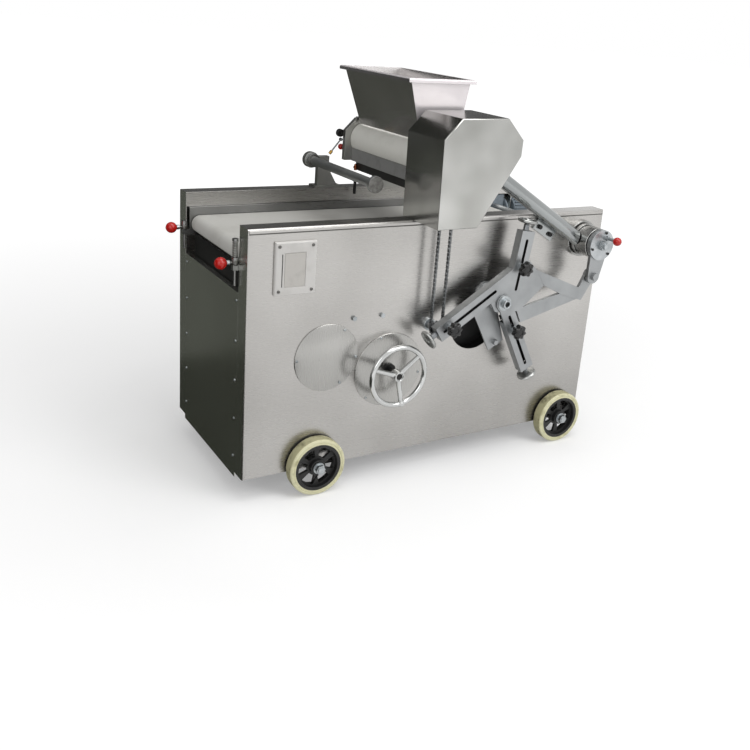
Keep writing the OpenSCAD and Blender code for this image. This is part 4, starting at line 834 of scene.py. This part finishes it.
# Shaft housing: a turned iron drum with two grooves, on a flange that is bolted to the front panel.
# The main shaft runs through its bore.
shaft_x, shaft_z = 1180, 726
drum = [(18.1, 0), (60, 0), (60, 10.5), (58.5, 12), (46.5, 12), (46, 12.5), (46, 17.5), (46.5, 18), (53, 18),
        (54, 19), (54, 29), (53, 30), (46.5, 30), (46, 30.5), (46, 35.5), (46.5, 36), (49, 36), (50, 37),
        (50, 80.5), (48.5, 82), (18.1, 82)]
# Oiled iron gives a dark satin mirror
oiled_iron = steel("oiled_iron", "#a3a3a1", "#8d8d8b", 0.27, even, streak=40, cloud=90, bump=0.01)
kept(turned(drum, at(shaft_x, 0, shaft_z), to_front, 72), "shaft_drum", oiled_iron, "machine", "dark_casting",
     "shaft_housing")


# Main shaft end: the shaft with its eccentric and hex nut, zinc plated, a pale face disc with three dark
# screws, and an index plunger with a red ball that is pulled out of the disc by hand.
dressed("main_shaft", "main_shaft_nut", 0.6, zinc, "zinc")
# Faced steel gives a pale bluish grey
faced_steel = steel("faced_steel", "#b7babc", "#a0a4a6", 0.34, even, streak=5, cloud=40)
dressed("face_disc", "index_disc", 0.8, faced_steel, "zinc")
screw = [(0, 0), (4.6, 0), (4.6, 1.6), (3.8, 2.4), (2.4, 2.4), (2.2, 1.2), (0, 1.2)]
dark_heads = []
for angle in (75, 195, 315):
    x, z = around(shaft_x, shaft_z, 42, angle)
    dark_heads.append(turned(screw, at(x, -107.6, z), to_front, 24))
kept(joined(dark_heads), "disc_screws", blackened_and_shade, "drive", "shaft_black")
plunger_x, plunger_z = 1197, 749
pull = [(0, -13.8), (4, -13.8)] + ball_arc(14, -74, 150 / 13, 12) + [(0, 14)]
kept(turned(pull, at(plunger_x, -153, plunger_z), to_front, 40), "index_ball", phenolic, "plunger",
     "lever_red", "index_plunger")
stalk = [(0, 0), (4.95, 0), (4.95, 33), (6.4, 33.5), (6.4, 37), (5, 38), (5, 42), (0, 42)]
kept(turned(stalk, at(plunger_x, -100.7, plunger_z), to_front, 32), "index_stalk", zinc, "plunger", "zinc")


# Eccentric rod: a strap cut from plate that hangs from the shaft's eccentric to the rocker's hook,
# where it turns on a pin. Bead-blasted like the rocker.

# Bead-blasted steel gives a matt, pale and even grey
matt_steel = steel("bead_blasted_steel", "#a0a2a3", "#939596", 0.42, even, streak=5, cloud=70)
dressed("eccentric_rod", "eccentric_strap", 0.9, matt_steel, "linkage_grey")


# Pivot and sprocket studs: turned steel flanges welded to the panel, zinc plated.
# The pivot has a spindle, a washer and a cap screw with a deep socket, which holds the rocker.
pivot = at(818, 0, 560)
pivot_flange = [(0, 0), (45, 0), (45, 9), (44, 10), (30.5, 10), (30, 10.5), (30, 39.1), (29.4, 39.7),
                (0, 39.7)]
spindle = [(0, 39), (15.9, 39), (15.9, 90.2), (0, 90.2)]
washer = [(0, 90.3), (23.2, 90.3), (24, 91), (24, 92.5), (23.2, 93.3), (0, 93.3)]
cap_screw = [(0, 93.3), (14.6, 93.3), (15, 94), (15, 104), (13.6, 106.3), (9.4, 106.3), (8.8, 105.6),
             (8.8, 97), (0, 97)]
studs = []
for outline, steps in ((pivot_flange, 64), (spindle, 48), (washer, 56), (cap_screw, 48)):
    studs.append(turned(outline, pivot, to_front, steps))
sprocket_stud = [(0, 0), (20, 0), (20, 7), (19, 8), (8, 8), (8, 45.9), (12, 45.9), (12, 47.9), (0, 47.9)]
studs.append(turned(sprocket_stud, at(chain_x, 0, chain_low), to_front, 40))
kept(joined(studs), "pivot_studs", zinc, "machine", "zinc", "panel_studs")
# A black hex disc at the bottom of the socket is painted shade for its depth
socket = [(0, 97.1), (8.6, 97.1), (8.6, 99), (0, 99)]
kept(turned(socket, pivot, to_front, 6), "pivot_socket_shade", blackened_and_shade, "machine", "zinc")


# Rocker: a welded plate with two slotted channel arms and a hook, and a separate slotted lower arm, of
# bead-blasted steel; both pivot on the same stud. The channels' insides are painted black and black strips
# close them at the back: painted shade, so that their slots show as black lines.
slot_half = 5
strip_half = 19
# An arm's foot, angle, length, start of its channel, back, strip behind the hub, and its block's rest
arms = {"up": {"foot": (862, 600), "angle": 82.2, "end": 185, "channel": 64, "back": -54,
               "hub": (-28, 62, -34, 19), "rest": 72},
        "left": {"foot": (782, 599), "angle": 211.8, "end": 229, "channel": 24, "back": -54,
                 "hub": (-28, 22, -19, 28), "rest": 186},
        "low": {"foot": (845, 512), "angle": -62.2, "end": 211, "channel": 12, "back": -60,
                "hub": (-8, 10, -19, 19), "rest": 50}}


def pointing(angle):
    """The direction at an angle in degrees, seen from the front."""
    x, z = around(0, 0, 1, angle)
    return Vector((x, 0, z))


def inside_arm(face, arm):
    """Whether a face lies inside an arm's channel or slot; s runs along the arm, t across, y to the back."""
    along = pointing(arm["angle"])
    across = Vector((-along[2], 0, along[0]))
    reach = face.center - at(arm["foot"][0], arm["back"], arm["foot"][1])
    s, t, y = (reach.dot(way) * 1000 for way in (along, across, Vector(to_back)))
    in_channel = arm["channel"] < s < arm["end"] - 4 and abs(t) < 22 and -27 < y < -1
    in_slot = -slot_half - 1 < s < arm["end"] - 16 and abs(t) < slot_half + 0.2 and -29.2 < y < -1
    return in_channel or in_slot


def shade_strips(arm):
    """Two black strips of painted shade behind an arm's slot: one in its channel, a wider one where the slot
    runs into the hub.
    """
    hub = arm["hub"]
    back = arm["back"] - 0.2
    front = back - 1.0
    parts = [block(arm["channel"], arm["end"] - 9, front, back, -strip_half, strip_half),
             block(hub[0], hub[1], front, back, hub[2], hub[3])]
    strip = joined([eased(part, 0.3) for part in parts])
    foot = Matrix.Translation((arm["foot"][0] / 1000, 0, arm["foot"][1] / 1000))
    corner = Matrix.Translation(at(0, 0, 0))
    swing = Matrix.Rotation(-math.radians(arm["angle"]), 4, "Y")
    return settled(strip, foot @ corner @ swing @ corner.inverted())


for node, name, channels in (("rocker_plate", "rocker_weldment", ("up", "left")),
                             ("lower_arm", "lower_channel_arm", ("low",))):
    weldment = dressed(node, name, 0.7, matt_steel, "linkage_grey", cut=True)
    # The faces inside the channels take the black: painted shade
    refinished(weldment, shade_black, lambda face: any(inside_arm(face, arms[key]) for key in channels))
    for key in channels:
        kept(shade_strips(arms[key]), "%s_channel_strip" % key, shade_black, "rocker", "linkage_grey")


# Lead screws, slide blocks and clamp knobs, one set to each arm: a rolled screw with a turned dish knob,
# a steel block on it, and a seven-lobed phenolic knob on a collar that clamps the block to the arm.

# Black phenolic gives a deep gloss with small highlights
black_phenolic = coat("black_phenolic", "#0a0a0a", "#101010", 0.2, 40)
# Turned steel gives a dull ring of light
turned_steel = steel("turned_steel", "#a9aaa8", "#949593", 0.3, even, streak=20, cloud=40)
thread_step = 3.0
lobes = 7
dish = [(0, 0), (9, 0), (10, 0.4), (25, 3.6), (29.4, 5.2), (31, 7.4), (31, 12.4), (29.6, 14), (27.4, 14),
        (25.6, 12.6), (21.5, 9.4), (11.5, 9), (10.2, 9.8), (10, 14.6), (8.6, 16), (4.4, 16),
        (4, 15.2), (0, 15.2)]
knob_collar = [(5.2, 0), (12.4, 0), (13, 0.8), (13, 13.4), (12.4, 14), (5.2, 14)]
grip_outline = [(5.2, 0), (17, 0), (19.6, 1), (21, 3.4), (21.5, 8), (21.3, 15), (20, 19.4), (17, 22),
                (12, 23.2), (8.4, 23.2), (7.6, 22.4), (7.4, 21), (0, 21), (0, 20), (5.2, 20)]
for key, arm in arms.items():
    angle = arm["angle"]
    end = arm["end"]
    along = pointing(angle)
    foot = at(arm["foot"][0], arm["back"] - 12, arm["foot"][1])
    thread = [(0, 8)]
    for i in range(int((end - 14) / thread_step)):
        low = 9 + i * thread_step
        thread += [(5.2, low), (5.95, low + 0.9), (5.95, low + 1.8), (5.2, low + 2.6)]
    thread += [(5.2, end - 2), (5.95, end - 1.5), (5.95, end + 0.3), (9, end + 0.4), (9, end + 17),
               (7, end + 20), (0, end + 20)]
    kept(turned(thread, foot, along, 20), "%s_rolled_screw" % key, cut_steel, "%s_screw_body" % key, "zinc")
    dish_foot = foot + along * (end + 20) / 1000
    kept(turned(dish, dish_foot, along, 56), "%s_dish_knob" % key, turned_steel, "%s_screw_body" % key,
         "chrome", "%s_screw" % key)
    dressed("%s_block" % key, "%s_slide_block" % key, 0.5, cut_steel, "block_steel")
    x, z = around(*arm["foot"], arm["rest"], angle)
    spot = at(x, arm["back"] - 30.3, z)
    kept(turned(knob_collar, spot, to_front, 40), "%s_knob_collar" % key, zinc, "%s_knob_body" % key, "zinc")
    star = turned(grip_outline, (0, 0, 0), upward, 98)
    for vertex in star.data.vertices:
        turn = math.atan2(vertex.co[1], vertex.co[0])
        lobe = min(max((vertex.co.xy.length - 0.009) / 0.010, 0), 1)
        wave = 1 + 0.15 * lobe * math.cos(lobes * turn)
        vertex.co[0] *= wave
        vertex.co[1] *= wave
    twist = Matrix.Rotation(math.radians(angle), 4, "Z")
    settled(star, facing(spot + Vector((0, -0.0145, 0)), to_front) @ twist)
    bpy.ops.object.shade_smooth_by_angle(angle=math.radians(50))
    kept(star, "%s_star_knob" % key, black_phenolic, "%s_knob_body" % key, "knob_black", "%s_knob" % key)


# Gear motor: a cast worm gearbox in the rear panel's fold, a flange, and a finned motor beyond the panel's
# end, the fins running along it; bolted to the rear panel and painted.

# Hammer paint gives a blue-grey with a dimpled gloss
hammer = coat("hammer_paint", "#707a82", "#5f686f", 0.35, 9, grain=0.2)
to_right = (1, 0, 0)
motor_y, motor_z = 521.5, 707
fins = 28
fin_half = 0.9
flange = [(0, 0), (40, 0), (46, 3), (46, 9), (34, 12), (26, 22), (26, 34), (0, 34)]
barrel = [(0, 0), (48, 0), (50, 2), (50, 60), (48, 66), (40, 72), (30, 75), (0, 75)]
motor = [eased(block(1120, 1240, 497, 547, 666, 770), 5, 3),
         turned(flange, at(1240, motor_y, motor_z), to_right, 48),
         turned(barrel, at(1275, motor_y, motor_z), to_right, 64)]
axis = at(0, motor_y, motor_z)
for i in range(fins):
    fin = eased(block(1279, 1338, motor_y - fin_half, motor_y + fin_half, motor_z + 48, motor_z + 57), 0.5)
    spin = Matrix.Rotation(math.tau * i / fins, 4, "X")
    motor.append(settled(fin, Matrix.Translation(axis) @ spin @ Matrix.Translation(-axis)))
kept(joined(motor), "finned_gear_motor", hammer, "machine", "motor_blue", "gear_motor")


# Far-side fittings: a turned knob and a ball on the far end plate, a thin stay rod with a brass nut,
# a copper oiler beside the nozzle bar and a black rod end under it; screwed to the far plate from inside.
knob = [(0, 0), (5, 0), (5, 6), (11, 6.5), (13, 8.5), (13, 19), (11, 21.5), (0, 22)]
kept(turned(knob, at(526, 490, 997), to_back, 32), "far_side_knob", blackened_and_shade, "machine", "zinc")
small_ball = [(0, -9.8)] + ball_arc(10, -78, 13, 11) + [(0, 10)]
kept(turned(small_ball, at(534, 507, 951), to_back, 36), "far_side_ball", phenolic, "machine", "lever_red")
stay = [eased(bar((534, 490, 951), (534, 499, 951), 3.5, 3.5, 20), 0.4),
        eased(bar((525, 494, 977), (487, 494, 931), 2.6, 2.6, 20), 0.4),
        eased(bar((525, 489.5, 977), (525, 498, 977), 5.5, 5.5, 24), 0.8)]
kept(joined(stay), "far_side_stay", cut_steel, "machine", "zinc")
# Brass and copper give small warm glints
brass = steel("brass", "#c9a35c", "#a98543", 0.25, even, streak=6, cloud=15)
kept(eased(bar((494, 494, 939.5), (486, 494, 929.8), 5.4, 5.4, 6), 0.6), "stay_nut", brass, "machine", "zinc")
copper = steel("copper", "#b0694a", "#8f5238", 0.28, even, streak=6, cloud=15)
oiler = [(0, 0), (5, 0), (5, 6), (7, 7), (7, 13), (5, 14), (4, 19), (2.5, 21), (0, 21)]
kept(turned(oiler, at(571, 466, 879), upward, 28), "copper_oiler", copper, "machine", "zinc")
eyelet = [(4, -7), (11, -7), (12.5, -5.5), (12.5, 5.5), (11, 7), (4, 7)]
rod_end = [eased(bar((573, 466, 799), (573, 466, 846), 5, 5, 24), 0.5),
           turned(eyelet, at(573, 466, 852), to_back, 36)]
kept(joined(rod_end), "black_rod_end", blackened_and_shade, "machine", "nozzle_black")
